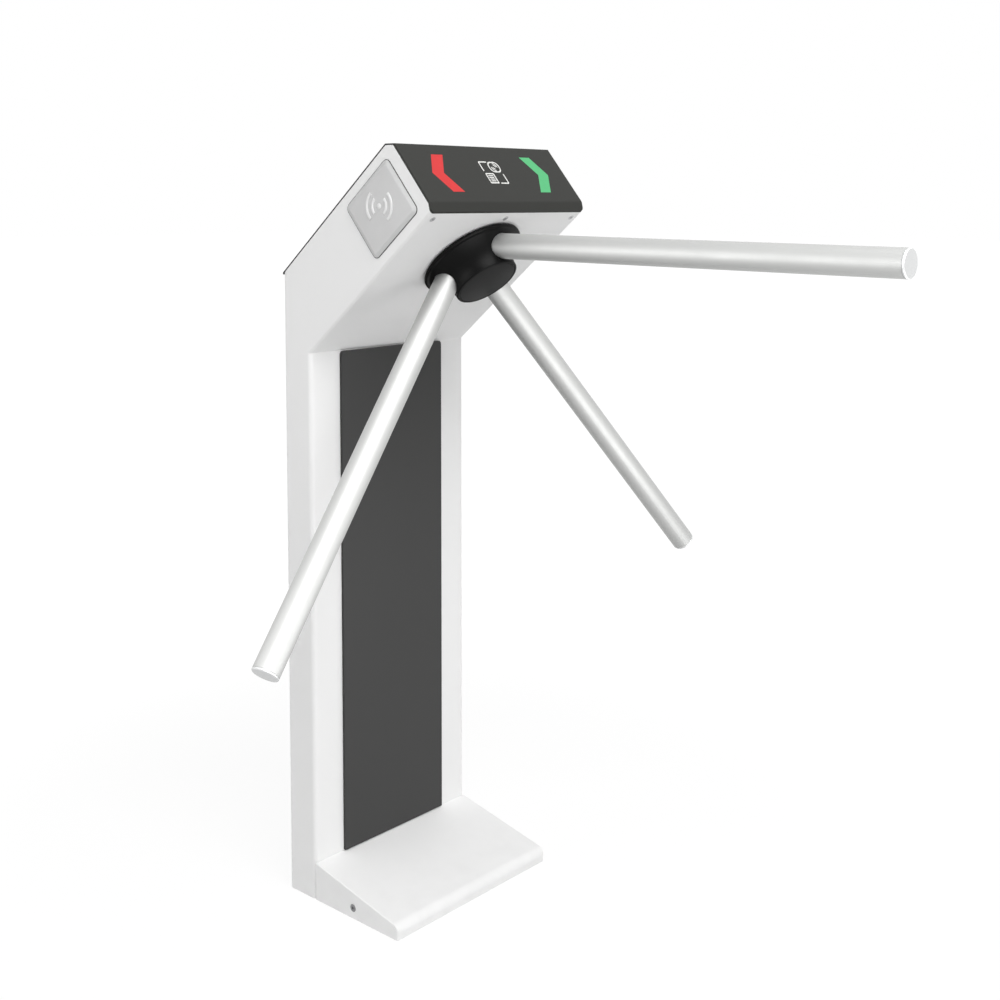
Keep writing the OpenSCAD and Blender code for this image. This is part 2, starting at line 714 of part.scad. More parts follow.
// Chassis: a plate on four pillars, above the underside
chassis_tail = 46;
chassis_nose = 13;
chassis_edge = 3;
chassis_back = -(centre_dist + chassis_tail);
chassis_front = encoder_d / 2 + chassis_nose;
chassis_w = pawl_pin[1] + solenoid_w / 2 + chassis_edge;
pillar_flats = 12;
pillar_inset = 13;
pillar_front = nose_run - end_t - lip_lean - bracket_foot - pillar_flats;
pillar_xs = [chassis_back + pillar_inset, pillar_front];
m6 = 6;
module each_pillar() {
    for (x = pillar_xs, y = [-1, 1]) translate([x, y * (chassis_w - pillar_inset), 0]) children();
}
housing_r = bearing_d / 2 + housing_wall;
housing_screw_r = housing_r + m6;
module each_housing_screw() {
    for (a = [45:90:315]) rotate(a) translate([housing_screw_r, 0, 0]) children();
}
gearbox_l = 70;
gearbox_w = 44;
gearbox_h = 34;
gearbox_nose = 30;
gearbox_s = -centre_dist + gearbox_nose;
m4 = 4;
module each_motor_screw() {
    edge = 7;
    for (x = [gearbox_s - edge, gearbox_s - gearbox_l + edge], y = [-1, 1])
        translate([x, y * (gearbox_w / 2 - edge), 0]) children();
}

solenoid_l = 40;
solenoid_h = 2 * (pawl_mid - chassis_top);
plunger_out = 39;
solenoid_s = pawl_pin[0] - plunger_out;
module each_solenoid_screw() {
    for (y = [-1, 1], x = [-1, 1])
        translate([solenoid_s + (x - 1) * solenoid_l / 2 - x * m4, y * pawl_pin[1], 0]) children();
}
module chassis_plate() color("lightsteelblue") hub_frame() difference() {
    translate([chassis_back, -chassis_w, chassis_low])
        cube([chassis_front - chassis_back, 2 * chassis_w, chassis_t]);
    translate([0, 0, chassis_low - over]) {
        high = chassis_t + 2 * over;
        cylinder(r = housing_r + fit, h = high);
        each_pillar() cylinder(d = m6 + 2 * fit, h = high);
        each_housing_screw() cylinder(d = m6, h = high);
        translate([-centre_dist, 0, 0]) cylinder(d = 2 * motor_shaft_d, h = high);
        each_motor_screw() cylinder(d = m4 + 2 * fit, h = high);
        for (y = [-1, 1]) translate([pawl_pivot[0], y * pawl_pivot[1], 0])
            cylinder(d = post_d / 2, h = high);
        each_solenoid_screw() cylinder(d = m4, h = high);
    }
}
module chassis_pillars() color("silver") hub_frame() each_pillar()
    difference() {
        translate([0, 0, sheet_t]) hex(pillar_flats, chassis_low - sheet_t);
        translate([0, 0, chassis_low - 2 * m6]) cylinder(d = m6, h = 2 * m6 + over);
    }
module chassis_screws() color("dimgray") hub_frame() each_pillar()
    translate([0, 0, chassis_top]) cap_screw(m6 - 2 * snug, chassis_t + m6);

// Bearing housing: a flanged sleeve with a bearing seat at each end
bore_shoulder = 3;
housing_flange_r = housing_screw_r + m6;
module bearing_housing() color("lightgray") hub_frame() difference() {
    union() {
        translate([0, 0, housing_low]) cylinder(r = housing_r, h = housing_top - housing_low);
        translate([0, 0, chassis_top]) cylinder(r = housing_flange_r, h = housing_flange_t);
    }
    translate([0, 0, housing_low - over]) {
        cylinder(d = bearing_d - 2 * bore_shoulder, h = housing_top - housing_low + 2 * over);
        cylinder(r = bearing_d / 2 + snug, h = lower_bearing + bearing_w - housing_low + over);
    }
    translate([0, 0, upper_bearing])
        cylinder(r = bearing_d / 2 + snug, h = housing_top - upper_bearing + over);
    each_housing_screw() translate([0, 0, housing_top]) flat_screw_hole(m6, housing_flange_t + over);
}
module housing_screws() color("dimgray") hub_frame() each_housing_screw()
    translate([0, 0, housing_top - snug]) flat_screw(m6 - 2 * snug, housing_flange_t + chassis_t);

// Bearings: a ring section, and balls between the rings
ring_t_share = 0.3;
ball_count = 9;
ring_t = ring_t_share * (bearing_d - shaft_d) / 2;
groove_share = 0.12;
race_gap = (bearing_d - shaft_d) / 2 - 2 * ring_t;
ball_r = race_gap / 2 + ring_t * groove_share;
pitch_r = (bearing_d + shaft_d) / 4;
module each_bearing() {
    for (n = [lower_bearing, upper_bearing]) translate([0, 0, n]) children();
}
module ball_groove() {
    rotate_extrude($fn = 64) translate([pitch_r, bearing_w / 2]) circle(r = ball_r + fit, $fn = 32);
}
module bearing_outer_rings() color("gainsboro") hub_frame() each_bearing() difference() {
    cylinder(d = bearing_d, h = bearing_w);
    translate([0, 0, -over]) cylinder(d = bearing_d - 2 * ring_t, h = bearing_w + 2 * over);
    ball_groove();
}
module bearing_inner_rings() color("gainsboro") hub_frame() each_bearing() difference() {
    cylinder(d = shaft_d + 2 * ring_t, h = bearing_w);
    translate([0, 0, -over]) cylinder(d = shaft_d + 2 * snug, h = bearing_w + 2 * over);
    ball_groove();
}
module bearing_balls() color("silver") hub_frame() each_bearing()
    for (i = [0:ball_count - 1]) rotate(360 * i / ball_count)
        translate([pitch_r, 0, bearing_w / 2]) sphere(r = ball_r);

// Main shaft, with a collar between the bearings
hub_low = -hub_drop;
shaft_recess = 20;
shaft_low = hub_low + shaft_recess;
hub_bolt_d = 10;
washer_t = 2.5;
collar_r = shaft_d / 2 + spacer;
key_w = 6;
key_h = 6;
key_low = lock_low - over;
key_l = gear_low + gear_w - key_low;
circlip_t = 1.2;
module key_cut(grow) {
    translate([shaft_d / 2 - key_h / 2 - grow, -key_w / 2 - grow, key_low - grow])
        cube([key_h + 2 * grow, key_w + 2 * grow, key_l + 2 * grow]);
}
module main_shaft() color("silver") hub_frame() difference() {
    union() {
        translate([0, 0, shaft_low]) cylinder(d = shaft_d, h = shaft_top - shaft_low);
        translate([0, 0, lower_bearing + bearing_w]) cylinder(r = collar_r, h = bearing_apart);
    }
    translate([0, 0, shaft_low - over]) cylinder(d = hub_bolt_d, h = 3 * hub_bolt_d);
    key_cut(snug);
    // Groove of the circlip
    translate([0, 0, upper_bearing + bearing_w]) difference() {
        cylinder(d = shaft_d + over, h = circlip_t + snug);
        translate([0, 0, -over]) cylinder(d = shaft_d - 2 * circlip_t, h = circlip_t + 2 * over);
    }
}
module shaft_circlip() color("dimgray") hub_frame()
    translate([0, 0, upper_bearing + bearing_w + snug / 2]) difference() {
    ears = 4;
    union() {
        cylinder(d = shaft_d + 2 * circlip_t, h = circlip_t);
        translate([-shaft_d / 2 - ears, -ears, 0]) cube([ears, 2 * ears, circlip_t]);
    }
    translate([0, 0, -over]) cylinder(d = shaft_d - 2 * circlip_t + 2 * snug, h = circlip_t + 2 * over);
    translate([-shaft_d, -over, -over]) cube([shaft_d, 2 * over, circlip_t + 2 * over]);
}
module shaft_key() color("dimgray") hub_frame() key_cut(0);
module shaft_nut() color("dimgray") hub_frame() translate([0, 0, nut_low]) difference() {
    nut_wall = 7;
    nut_r = shaft_d / 2 + nut_wall;
    cylinder(r = nut_r, h = nut_t);
    translate([0, 0, -over]) cylinder(d = shaft_d + 2 * snug, h = nut_t + 2 * over);
    // Spanner slots round the nut
    for (a = [0:90:270]) rotate(a) translate([nut_r - spacer, -spacer, -over])
        cube([2 * spacer, 2 * spacer, nut_t + 2 * over]);
}

// Arms
module arm_frame(k) {
    hub_frame() translate([0, 0, axes_depth]) rotate([0, 0, 120 * k])
        rotate([0, 180 - arm_spread, 0]) children();
}
arm_bolt_d = 6;
bolt_skin = 2;
module each_arm_bolt(n) {
    hub_frame() for (k = [0:2]) rotate(120 * k) translate([arm_bolt_r, 0, n]) children();
}
module arm(k) color("#c9cbcc") difference() {
    arm_frame(k) difference() {
        translate([0, 0, arm_start]) cylinder(r = arm_r, h = arm_reach - cap_t - arm_start, $fn = 96);
        translate([0, 0, arm_start - over]) cylinder(r = arm_r - arm_wall, h = arm_reach);
    }
    each_arm_bolt(hub_low) cylinder(d = arm_bolt_d + 2 * fit, h = hub_drop + core_rise);
}
module arm_1() arm(0);
module arm_2() arm(1);
module arm_3() arm(2);
module arm_end_caps() color("#b9bbbc") for (k = [0:2]) arm_frame(k) {
    chamfer = 1;
    joint = 0.5;
    translate([0, 0, arm_reach - cap_t]) cylinder(r1 = arm_r - joint, r2 = arm_r, h = joint, $fn = 96);
    translate([0, 0, arm_reach - cap_t + joint])
        cylinder(r = arm_r, h = cap_t - chamfer - joint, $fn = 96);
    translate([0, 0, arm_reach - chamfer])
        cylinder(r1 = arm_r, r2 = arm_r - chamfer, h = chamfer, $fn = 96);
    translate([0, 0, arm_reach - cap_t - plug_l]) cylinder(r = arm_r - arm_wall - snug, h = plug_l);
}

// Hub shell: a flange and a neck that curves in to the nose, with a mouth for each arm
neck_top = -hub_gap - flange_t;
neck_low = hub_low + nose_cap_t;
neck_steps = 15;
neck_curve = 2.2;
// Radius of the neck, q from 0 at the flange to 1 at the nose
function neck_at(q) = nose_r + (neck_r - nose_r) * pow(1 - q, neck_curve);
function neck_side(inset) = [
    for (i = [0:neck_steps])
        let (q = i / neck_steps) [neck_at(q) - inset, neck_top + q * (neck_low - neck_top)]
];
module arm_sleeves(r) {
    for (k = [0:2]) arm_frame(k) translate([0, 0, arm_start - over])
        cylinder(r = r, h = arm_reach, $fn = 64);
}
rim_r = 2;
mouth_gap = 0.6;
module hub_shell() color("#1c1c1c") difference() {
    hub_frame() rotate_extrude($fn = 128) polygon(concat(
        [
            [core_r + fit, -hub_gap], [flange_r - rim_r / 2, -hub_gap],
                [flange_r, -hub_gap - rim_r / 2],
            [flange_r, neck_top + rim_r], [flange_r - rim_r, neck_top + rim_r / 4]
        ],
        neck_side(0),
        [for (i = [neck_steps:-1:1]) neck_side(shell_t)[i]],
        [[neck_at(0) - shell_t, neck_top], [core_r + fit, neck_top]]
    ));
    arm_sleeves(arm_r + mouth_gap);
}

// Hub core: a casting that holds the arms and sits on the shaft
core_low = neck_low + fit;
washer_r = 14;
washer_room = 1;
pocket_r = washer_r + washer_room;
pocket_top = shaft_low - washer_room;
snap_r = 25;
module hub_core() color("#8d9093") difference() {
    hub_frame() rotate_extrude($fn = 96) polygon(concat(
        [[0, lower_bearing], [collar_r, lower_bearing], [collar_r, core_rise],
            [core_r, core_rise], [core_r, neck_top - fit],
            [neck_at(1 / neck_steps) - shell_t - fit, neck_top - fit]],
        [for (i = [1:neck_steps - 1]) neck_side(shell_t + fit)[i]],
        [[neck_at(1) - shell_t - fit, core_low], [0, core_low]]
    ));
    hub_frame() {
        translate([0, 0, core_low - over])
            cylinder(d = shaft_d + 2 * snug, h = core_rise - core_low + 2 * spacer + 2 * over);
        translate([0, 0, core_low - over]) cylinder(r = pocket_r, h = pocket_top - core_low + over);
        // Groove that the front cap snaps into
        translate([0, 0, core_low - over]) difference() {
            cylinder(r = snap_r, h = 2 * spacer + over);
            translate([0, 0, -over]) cylinder(r = snap_r - 2 * spacer, h = 2 * spacer + 3 * over);
        }
    }
    arm_sleeves(arm_r + snug);
    each_arm_bolt(core_low - over) {
        cylinder(d = arm_bolt_d, h = core_rise - core_low - bolt_skin + over);
        cylinder(d = 1.6 * arm_bolt_d + 2 * fit, h = arm_bolt_d + 2 * over);
    }
}
module arm_bolts() color("dimgray") each_arm_bolt(core_low + arm_bolt_d + over) mirror([0, 0, 1])
    cap_screw(arm_bolt_d - 2 * snug, core_rise - core_low - 2 * arm_bolt_d);
module hub_bolt() color("dimgray") hub_frame() {
    shank = 22;
    translate([0, 0, pocket_top - washer_t]) cylinder(r = washer_r, h = washer_t);
    translate([0, 0, pocket_top - washer_t - 0.6 * hub_bolt_d]) hex(1.6 * hub_bolt_d, 0.6 * hub_bolt_d);
    translate([0, 0, pocket_top - washer_t]) cylinder(d = hub_bolt_d - 2 * snug, h = shank);
}
module hub_cap() color("#303030") hub_frame() {
    edge = 0.8;
    skirt = 2;
    translate([0, 0, hub_low + edge]) cylinder(r = nose_r, h = nose_cap_t - edge - snug, $fn = 96);
    translate([0, 0, hub_low]) cylinder(r1 = nose_r - edge, r2 = nose_r, h = edge, $fn = 96);
    translate([0, 0, neck_low - over]) difference() {
        cylinder(r = snap_r - snug, h = spacer + over);
        translate([0, 0, -over]) cylinder(r = snap_r - skirt, h = spacer + 3 * over);
    }
}

// Lock wheel and drive gear, keyed to the shaft
boss_wall = 8;
wheel_boss = shaft_d / 2 + boss_wall;
module keyed_bore(low, high) {
    translate([0, 0, low - over]) cylinder(d = shaft_d + 2 * snug, h = high - low + 2 * over);
    key_cut(snug);
}
module lock_wheel() color("slategray") hub_frame() difference() {
    low = upper_bearing + bearing_w + circlip_t + spacer;
    taper = 1.5;
    union() {
        translate([0, 0, lock_low]) cylinder(r = lock_r, h = lock_t, $fn = 96);
        translate([0, 0, low]) cylinder(r = wheel_boss, h = gear_low - low);
    }
    translate([0, 0, lock_low - over]) for (i = [0:notches - 1]) rotate((i + 0.5) * notch_step)
        linear_extrude(height = lock_t + 2 * over)
        polygon([
            [lock_r + over, -notch_w / 2], [lock_r + over, notch_w / 2],
            [lock_r - notch_deep, notch_w / 2 - taper], [lock_r - notch_deep, -notch_w / 2 + taper]
        ]);
    // Holes that lighten the wheel
    web_r = (wheel_boss + lock_r - notch_deep) / 2;
    for (a = [0:60:300]) rotate(a) translate([web_r, 0, lock_low - over])
        cylinder(r = notch_deep, h = lock_t + 2 * over);
    keyed_bore(low, gear_low);
}

// Involute teeth: outline of a gear whose tooth 0 is centred on the X axis
pressure = 20;
add_share = 0.75;
ded_share = 1.15;
lash_share = 0.05;
flank_steps = 3;
function inv(a) = tan(a) * 180 / PI - a;
function half_angle(z, r) =
    let (base = tooth_m * z * cos(pressure) / 2, a = r > base ? acos(base / r) : 0)
    90 / z + inv(pressure) - inv(a) - 360 * lash_share / (PI * z);
function gear_outline(z) =
    let (
        root = tooth_m * (z / 2 - ded_share), tip = tooth_m * (z / 2 + add_share),
        base = max(root, tooth_m * z * cos(pressure) / 2),
        radii = concat([root], [for (i = [0:flank_steps]) base + (tip - base) * i / flank_steps])
    )
    [for (k = [0:z - 1], side = [-1, 1], i = [0:len(radii) - 1])
        let (r = side < 0 ? radii[i] : radii[len(radii) - 1 - i])
        polar(r, 360 * k / z + side * half_angle(z, r))];
module drive_gear() color("#c8a24a") hub_frame() difference() {
    rim = 8;
    root_r = tooth_m * (gear_z / 2 - ded_share);
    union() {
        difference() {
            translate([0, 0, gear_low]) linear_extrude(height = gear_w) polygon(gear_outline(gear_z));
            // Both faces are recessed between boss and rim
            for (n = [gear_low - over, gear_low + gear_w - spacer]) translate([0, 0, n]) difference() {
                cylinder(r = root_r - rim, h = spacer + over);
                translate([0, 0, -over]) cylinder(r = wheel_boss, h = spacer + 3 * over);
            }
        }
        translate([0, 0, gear_low]) cylinder(r = wheel_boss, h = encoder_low - gear_low);
    }
    keyed_bore(gear_low, encoder_low);
}
module pinion() color("#b8b8b8") hub_frame() translate([-centre_dist, 0, 0]) difference() {
    hub_h = spacer + over;
    flat_share = 0.8;
    union() {
        translate([0, 0, gear_low]) rotate(180 / pinion_z) linear_extrude(height = gear_w)
            polygon(gear_outline(pinion_z));
        translate([0, 0, gear_low - hub_h]) cylinder(d = 2 * motor_shaft_d, h = hub_h + over);
        // The gearmotor's output shaft turns with the pinion
        translate([0, 0, chassis_low - 2 * spacer])
            cylinder(d = motor_shaft_d, h = gear_low - chassis_low + 2 * spacer);
    }
    translate([0, 0, gear_low + gear_w - over]) cylinder(d = flat_share * motor_shaft_d, h = 2 * over);
}
module encoder_disc() color("#bfc7d5") hub_frame() translate([0, 0, encoder_low]) difference() {
    slot_l = 8;
    slot_w = 6;
    slots = 24;
    slot_edge = 2;
    cylinder(d = encoder_d, h = encoder_t, $fn = 96);
    translate([0, 0, -over]) {
        cylinder(d = shaft_d + 2 * snug, h = encoder_t + 2 * over);
        for (i = [0:slots - 1]) rotate(360 * i / slots)
            translate([encoder_d / 2 - slot_l - slot_edge, -slot_w / 2, 0])
            cube([slot_l, slot_w, encoder_t + 2 * over]);
    }
}
module encoder_sensor() color("#333333") hub_frame() {
    slot = 1.2;
    wide = 14;
    jaw = 5;
    reach = 7;
    post = 8;
    r0 = encoder_d / 2 - reach;
    rim_gap = 2;
    r1 = encoder_d / 2 + rim_gap;
    translate([0, -wide / 2, 0]) {
        translate([r1, 0, chassis_top])
            cube([post, wide, encoder_low + encoder_t + slot + jaw - chassis_top]);
        translate([r0, 0, encoder_low - slot]) mirror([0, 0, 1]) cube([r1 - r0 + over, wide, slot]);
        translate([r0, 0, encoder_low + encoder_t + slot]) cube([r1 - r0 + over, wide, jaw]);
    }
}

// Gearmotor: gearbox hung under the chassis, with its can along the slope
module gearmotor() color("#5a5d60") hub_frame() {
    box_n = chassis_low - gearbox_h;
    groove = 1;
    difference() {
        union() {
            translate([gearbox_s - gearbox_l, -gearbox_w / 2, box_n])
                cube([gearbox_l, gearbox_w, gearbox_h]);
            translate([-centre_dist, 0, chassis_low - over])
                cylinder(d = 2 * motor_shaft_d - 2 * fit, h = chassis_t);
        }
        translate([-centre_dist, 0, chassis_low - 2 * spacer - over])
            cylinder(d = motor_shaft_d + 2 * run, h = chassis_t + 4 * spacer);
        each_motor_screw() translate([0, 0, chassis_low - 2 * m4]) cylinder(d = m4, h = 2 * m4 + over);
        // Joint line round the gearbox
        translate([gearbox_s - gearbox_l - over, -gearbox_w / 2 - over, box_n + gearbox_h / 2])
            difference() {
            cube([gearbox_l + 2 * over, gearbox_w + 2 * over, groove]);
            translate([over + groove, over + groove, -over])
                cube([gearbox_l - 2 * groove, gearbox_w - 2 * groove, groove + 2 * over]);
        }
    }
    translate([gearbox_s - gearbox_l, 0, box_n + gearbox_h / 2]) rotate([0, -90, 0]) {
        cylinder(d = can_d, h = can_l);
        translate([0, 0, can_l]) cylinder(d = can_d / 2, h = spacer);
    }
}
module motor_screws() color("dimgray") hub_frame() each_motor_screw()
    translate([0, 0, chassis_top]) cap_screw(m4 - 2 * snug, chassis_t + m4);

// Posts that the pawls turn on, with a collar under and a head over each pawl
post_head = 2;
spring_room = 6;
module pawl_posts() color("silver") hub_frame() for (y = [-1, 1])
    translate([pawl_pivot[0], y * pawl_pivot[1], 0]) {
    head_low = lock_low + lock_t + spring_room;
    translate([0, 0, chassis_low]) cylinder(d = post_d / 2 - 2 * snug, h = chassis_t + over);
    translate([0, 0, chassis_top]) cylinder(d = 1.6 * post_d, h = pawl_low - fit - chassis_top);
    translate([0, 0, chassis_top]) cylinder(d = post_d, h = head_low - chassis_top);
    translate([0, 0, head_low]) cylinder(d = 1.4 * post_d, h = post_head);
}
// Outline of the far pawl in its locked place, in the plane of the wheel
module pawl_outline() {
    nose_deep_share = 0.78;
    tip_r = lock_r - nose_deep_share * notch_deep;
    root = lock_r + pawl_off / 2;
    tip_w = 7.5;
    root_w = 10.5;
    arm_w = 11;
    difference() {
        union() {
            translate(pawl_pivot) circle(d = 2 * post_d);
            bar(pawl_pivot, polar(lock_r + pawl_off, pawl_angle), arm_w);
            rotate(pawl_angle) polygon([
                [tip_r, -tip_w / 2], [tip_r, tip_w / 2], [root, root_w / 2],
                    [root + root_w / 2, 0], [root, -root_w / 2]
            ]);
        }
        translate(pawl_pivot) circle(d = post_d + 2 * run);
    }
}
tongue_t = 3;
pin_d = 4;
tail_w = 12;
tail_back = 2;
module pawl(side) color("#7c848c") hub_frame() scale([1, side, 1]) {
    // The nose is drawn locked and turned back to its free place
    difference() {
        translate([0, 0, pawl_low]) linear_extrude(height = pawl_t) {
            translate(pawl_pivot) rotate(-pawl_swing) translate(-pawl_pivot) pawl_outline();
            difference() {
                bar(pawl_pivot, pawl_pin, tail_w);
                translate(pawl_pivot) circle(d = post_d + 2 * run);
            }
        }
        // Slot in the tail for the plunger's tongue
        translate([pawl_pin[0] - tail_w, pawl_pin[1] - tail_w / 2 - tail_back,
            pawl_mid - tongue_t / 2 - fit])
            cube([2 * tail_w, 2 * tail_w, tongue_t + 2 * fit]);
    }
    translate([pawl_pin[0], pawl_pin[1], pawl_low]) cylinder(d = pin_d, h = pawl_t);
}
module pawl_near() pawl(-1);
module pawl_far() pawl(1);

// A tube swept along points by parallel rings of a few sides
function unit(v) = v / norm(v);
function dir_at(p, i) = unit(p[min(i + 1, len(p) - 1)] - p[max(i - 1, 0)]);
function ring(c, d, up, r, sides) =
    let (x = unit(cross(up, d)), y = cross(d, x))
    [for (k = [0:sides - 1]) c + r * (x * cos(360 * k / sides) + y * sin(360 * k / sides))];
module swept(path, r, sides, up) {
    n = len(path);
    points = [for (i = [0:n - 1]) each ring(path[i], dir_at(path, i), up, r, sides)];
    walls = [for (i = [0:n - 2], k = [0:sides - 1]) let (j = (k + 1) % sides)
        [i * sides + j, i * sides + k, (i + 1) * sides + k, (i + 1) * sides + j]];
    low = [for (k = [0:sides - 1]) k];
    high = [for (k = [sides - 1:-1:0]) (n - 1) * sides + k];
    polyhedron(points = points, faces = concat([low], walls, [high]), convexity = 6);
}
// Torsion springs above the pawls, round their posts, with a leg along the pawl's tail
spring_wire = 0.5;
spring_turns = 3;
module pawl_springs() color("#99a0a6") hub_frame() for (y = [-1, 1]) scale([1, y, 1])
    translate([pawl_pivot[0], pawl_pivot[1], 0]) {
        coil_r = post_d / 2 + spring_wire + fit;
        low = pawl_low + pawl_t + spring_wire + fit;
        rise = 3 * spring_wire;
        steps = 14;
        coil = [for (i = [0:spring_turns * steps]) let (a = 360 * i / steps)
            [coil_r * cos(a), coil_r * sin(a), low + rise * i / steps]];
        leg = [coil_r, -pawl_tail / 4, low];
        swept(concat([leg], coil), spring_wire, 6, [0, 0, 1]);
    }

// Solenoids: an open frame round a coil, with the plunger's bore
bore_gap = 0.3;
plunger_d = 10;
module solenoid(side) color("#6d6048") hub_frame() translate([solenoid_s, side * pawl_pin[1], 0])
    difference() {
    frame_t = 3;
    coil_d = solenoid_h - frame_t;
    union() {
        difference() {
            translate([-solenoid_l, -solenoid_w / 2, chassis_top])
                cube([solenoid_l, solenoid_w, solenoid_h]);
            translate([-solenoid_l + frame_t, -solenoid_w / 2 - over, chassis_top + frame_t])
                cube([solenoid_l - 2 * frame_t, solenoid_w + 2 * over, solenoid_h]);
        }
        translate([-solenoid_l + frame_t / 2, 0, pawl_mid]) rotate([0, 90, 0])
            cylinder(d = coil_d, h = solenoid_l - frame_t);
    }
    translate([-solenoid_l + 2 * frame_t, 0, pawl_mid]) rotate([0, 90, 0])
        cylinder(d = plunger_d + 2 * bore_gap, h = solenoid_l);
}
module solenoid_near() solenoid(-1);
module solenoid_far() solenoid(1);
module plunger(side) color("silver") hub_frame()
    translate([pawl_pin[0], side * pawl_pin[1], pawl_mid]) difference() {
    inside = 24;
    tongue_w = 9;
    ahead = 5;
    shoulder = tail_w / 2 + pull;
    union() {
        translate([solenoid_s - pawl_pin[0] - inside, 0, 0]) rotate([0, 90, 0])
            cylinder(d = plunger_d, h = inside - solenoid_s + pawl_pin[0] - shoulder);
        translate([-shoulder - over, -tongue_w / 2, -tongue_t / 2])
            cube([shoulder + over + ahead, tongue_w, tongue_t]);
    }
    // Slot for the pawl's pin, a little long so that the pin can follow its arc
    translate([0, 0, -tongue_t]) linear_extrude(height = 2 * tongue_t) for (y = [-1, 1])
        translate([0, y * over]) circle(d = pin_d + 2 * fit);
    translate([-pin_d / 2 - fit, -over, -tongue_t]) cube([pin_d + 2 * fit, 2 * over, 2 * tongue_t]);
}
module plunger_near() plunger(-1);
module plunger_far() plunger(1);

// Electrics on the column's back wall, behind the service window
wall_x = col_back + sheet_t;
standoff_h = 8;
standoff_d = 7;
board_drop = 40;
supply_rise = 90;
block_rise = 30;
board_z = window_z + window_h - board_l / 2 - board_drop;
supply_z = window_z + supply_l / 2 + supply_rise;
module on_wall(z) {
    translate([wall_x, 0, z]) rotate([90, 0, 90]) children();
}
module control_board() color("darkgreen") on_wall(board_z) {
    edge = 6;
    part_h = 14;
    relay = 16;
    heat_w = 40;
    translate([0, 0, standoff_h + board_t / 2]) cube([board_w, board_l, board_t], center = true);
    for (x = [-1, 1], y = [-1, 1]) translate([x * (board_w / 2 - edge), y * (board_l / 2 - edge), 0])
        cylinder(d = standoff_d, h = standoff_h + snug);
    translate([0, 0, standoff_h + board_t - snug]) {
        for (i = [-1:1]) translate([i * 2 * relay - relay / 2, -board_l / 2 + relay, 0])
            cube([relay, relay + edge, part_h]);
        translate([-heat_w / 2, 0, 0]) cube([heat_w, heat_w, part_h / 2]);
        for (y = [-1, 1]) translate([y * board_w / 3 - edge, board_l / 4, 0])
            cube([2 * edge, board_l / 6, part_h]);
        translate([-board_w / 3, board_l / 2 - 3 * edge, 0])
            cube([2 * board_w / 3, edge + part_h / 2, part_h / 2]);
    }
}
module power_supply() color("#b4b7ba") on_wall(supply_z) {
    cover_t = 1;
    vent = 4;
    rows = 6;
    difference() {
        translate([-supply_w / 2, -supply_l / 2, 0]) cube([supply_w, supply_l, supply_d]);
        // Open terminal end, and slots in the cover
        translate([-supply_w / 2 + cover_t, -supply_l / 2 - over, supply_d / 2])
            cube([supply_w - 2 * cover_t, supply_l / 8, supply_d]);
        for (i = [1:rows], x = [-1, 1])
            translate([x * supply_w / 4 - supply_w / 6, -supply_l / 4 + i * supply_l / 10,
                supply_d - cover_t])
            cube([supply_w / 3, vent, cover_t + over]);
    }
}
module terminal_block() color("#c9b98c") on_wall(window_z + block_rise) {
    ways = 10;
    pitch = 8;
    block_h = 24;
    block_d = 20;
    difference() {
        translate([-ways * pitch / 2, -block_h / 2, 0]) cube([ways * pitch, block_h, block_d]);
        for (i = [0:ways - 1], y = [-1, 1])
            translate([(i + 0.5 - ways / 2) * pitch, y * block_h / 4, block_d - pitch / 2])
            cylinder(d = pitch / 2, h = pitch);
    }
}
// Loom: from the terminal block up the back wall into the head, held by clips
loom_r = 4;
loom_y = max(supply_w, board_w) / 2 + 3 * loom_r;
module wiring_loom() color("#1f1f1f") {
    x0 = wall_x + loom_r + sheet_t;
    low = window_z + block_rise;
    high = col_h + col_d / 2;
    clip_l = 10;
    bend = 3 * loom_r;
    end = hp(hub_run + chassis_back - 2 * loom_r, chassis_low / 2);
    swept([
        [x0, loom_y - 2 * bend, low], [x0, loom_y - bend, low], [x0, loom_y - bend / 3, low + bend / 3],
        [x0, loom_y, low + bend], [x0, loom_y, high - bend], [x0 + bend / 3, loom_y, high - bend / 3],
        [x0 + bend, loom_y, high + bend / 2], [end[0], loom_y, end[1]]
    ], loom_r, 10, [0, 1, 0.3]);
    for (z = [board_z, supply_z]) translate([wall_x, loom_y - clip_l / 2, z]) difference() {
        cube([sheet_t + 2 * loom_r + sheet_t, clip_l, clip_l]);
        translate([loom_r + sheet_t, clip_l / 2, -over]) cylinder(r = loom_r, h = clip_l + 2 * over);
    }
}

cabinet();
base_plate();
cable_grommet();
foot_cover();
foot_screws();
front_panel();
panel_clips();
lid();
lid_screws();
end_panel();
end_bracket();
end_screws();
red_arrow_lens();
green_arrow_lens();
indicator_board();
reader_pad_near();
reader_pad_far();
reader_board_near();
reader_board_far();
chassis_pillars();
chassis_plate();
chassis_screws();
bearing_housing();
housing_screws();
bearing_outer_rings();
bearing_inner_rings();
bearing_balls();
main_shaft();
shaft_circlip();
shaft_key();
shaft_nut();
hub_core();
hub_shell();
hub_cap();
hub_bolt();
arm_bolts();
arm_1();
arm_2();
arm_3();
arm_end_caps();
lock_wheel();
drive_gear();
encoder_disc();
encoder_sensor();
pinion();
gearmotor();
motor_screws();
pawl_posts();
pawl_near();
pawl_far();
pawl_springs();
solenoid_near();
solenoid_far();
plunger_near();
plunger_far();
control_board();
power_supply();
terminal_block();
earth_stud();
wiring_loom();
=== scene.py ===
"""Dresses the slim tripod turnstile: finishes for every part, fine trim, and a white studio."""

import json
import logging
import math
from abc import ABC, abstractmethod
from collections.abc import Iterable, Mapping, Sequence
from dataclasses import dataclass, field
from enum import Enum

import bmesh
import bpy
from mathutils import Matrix, Vector


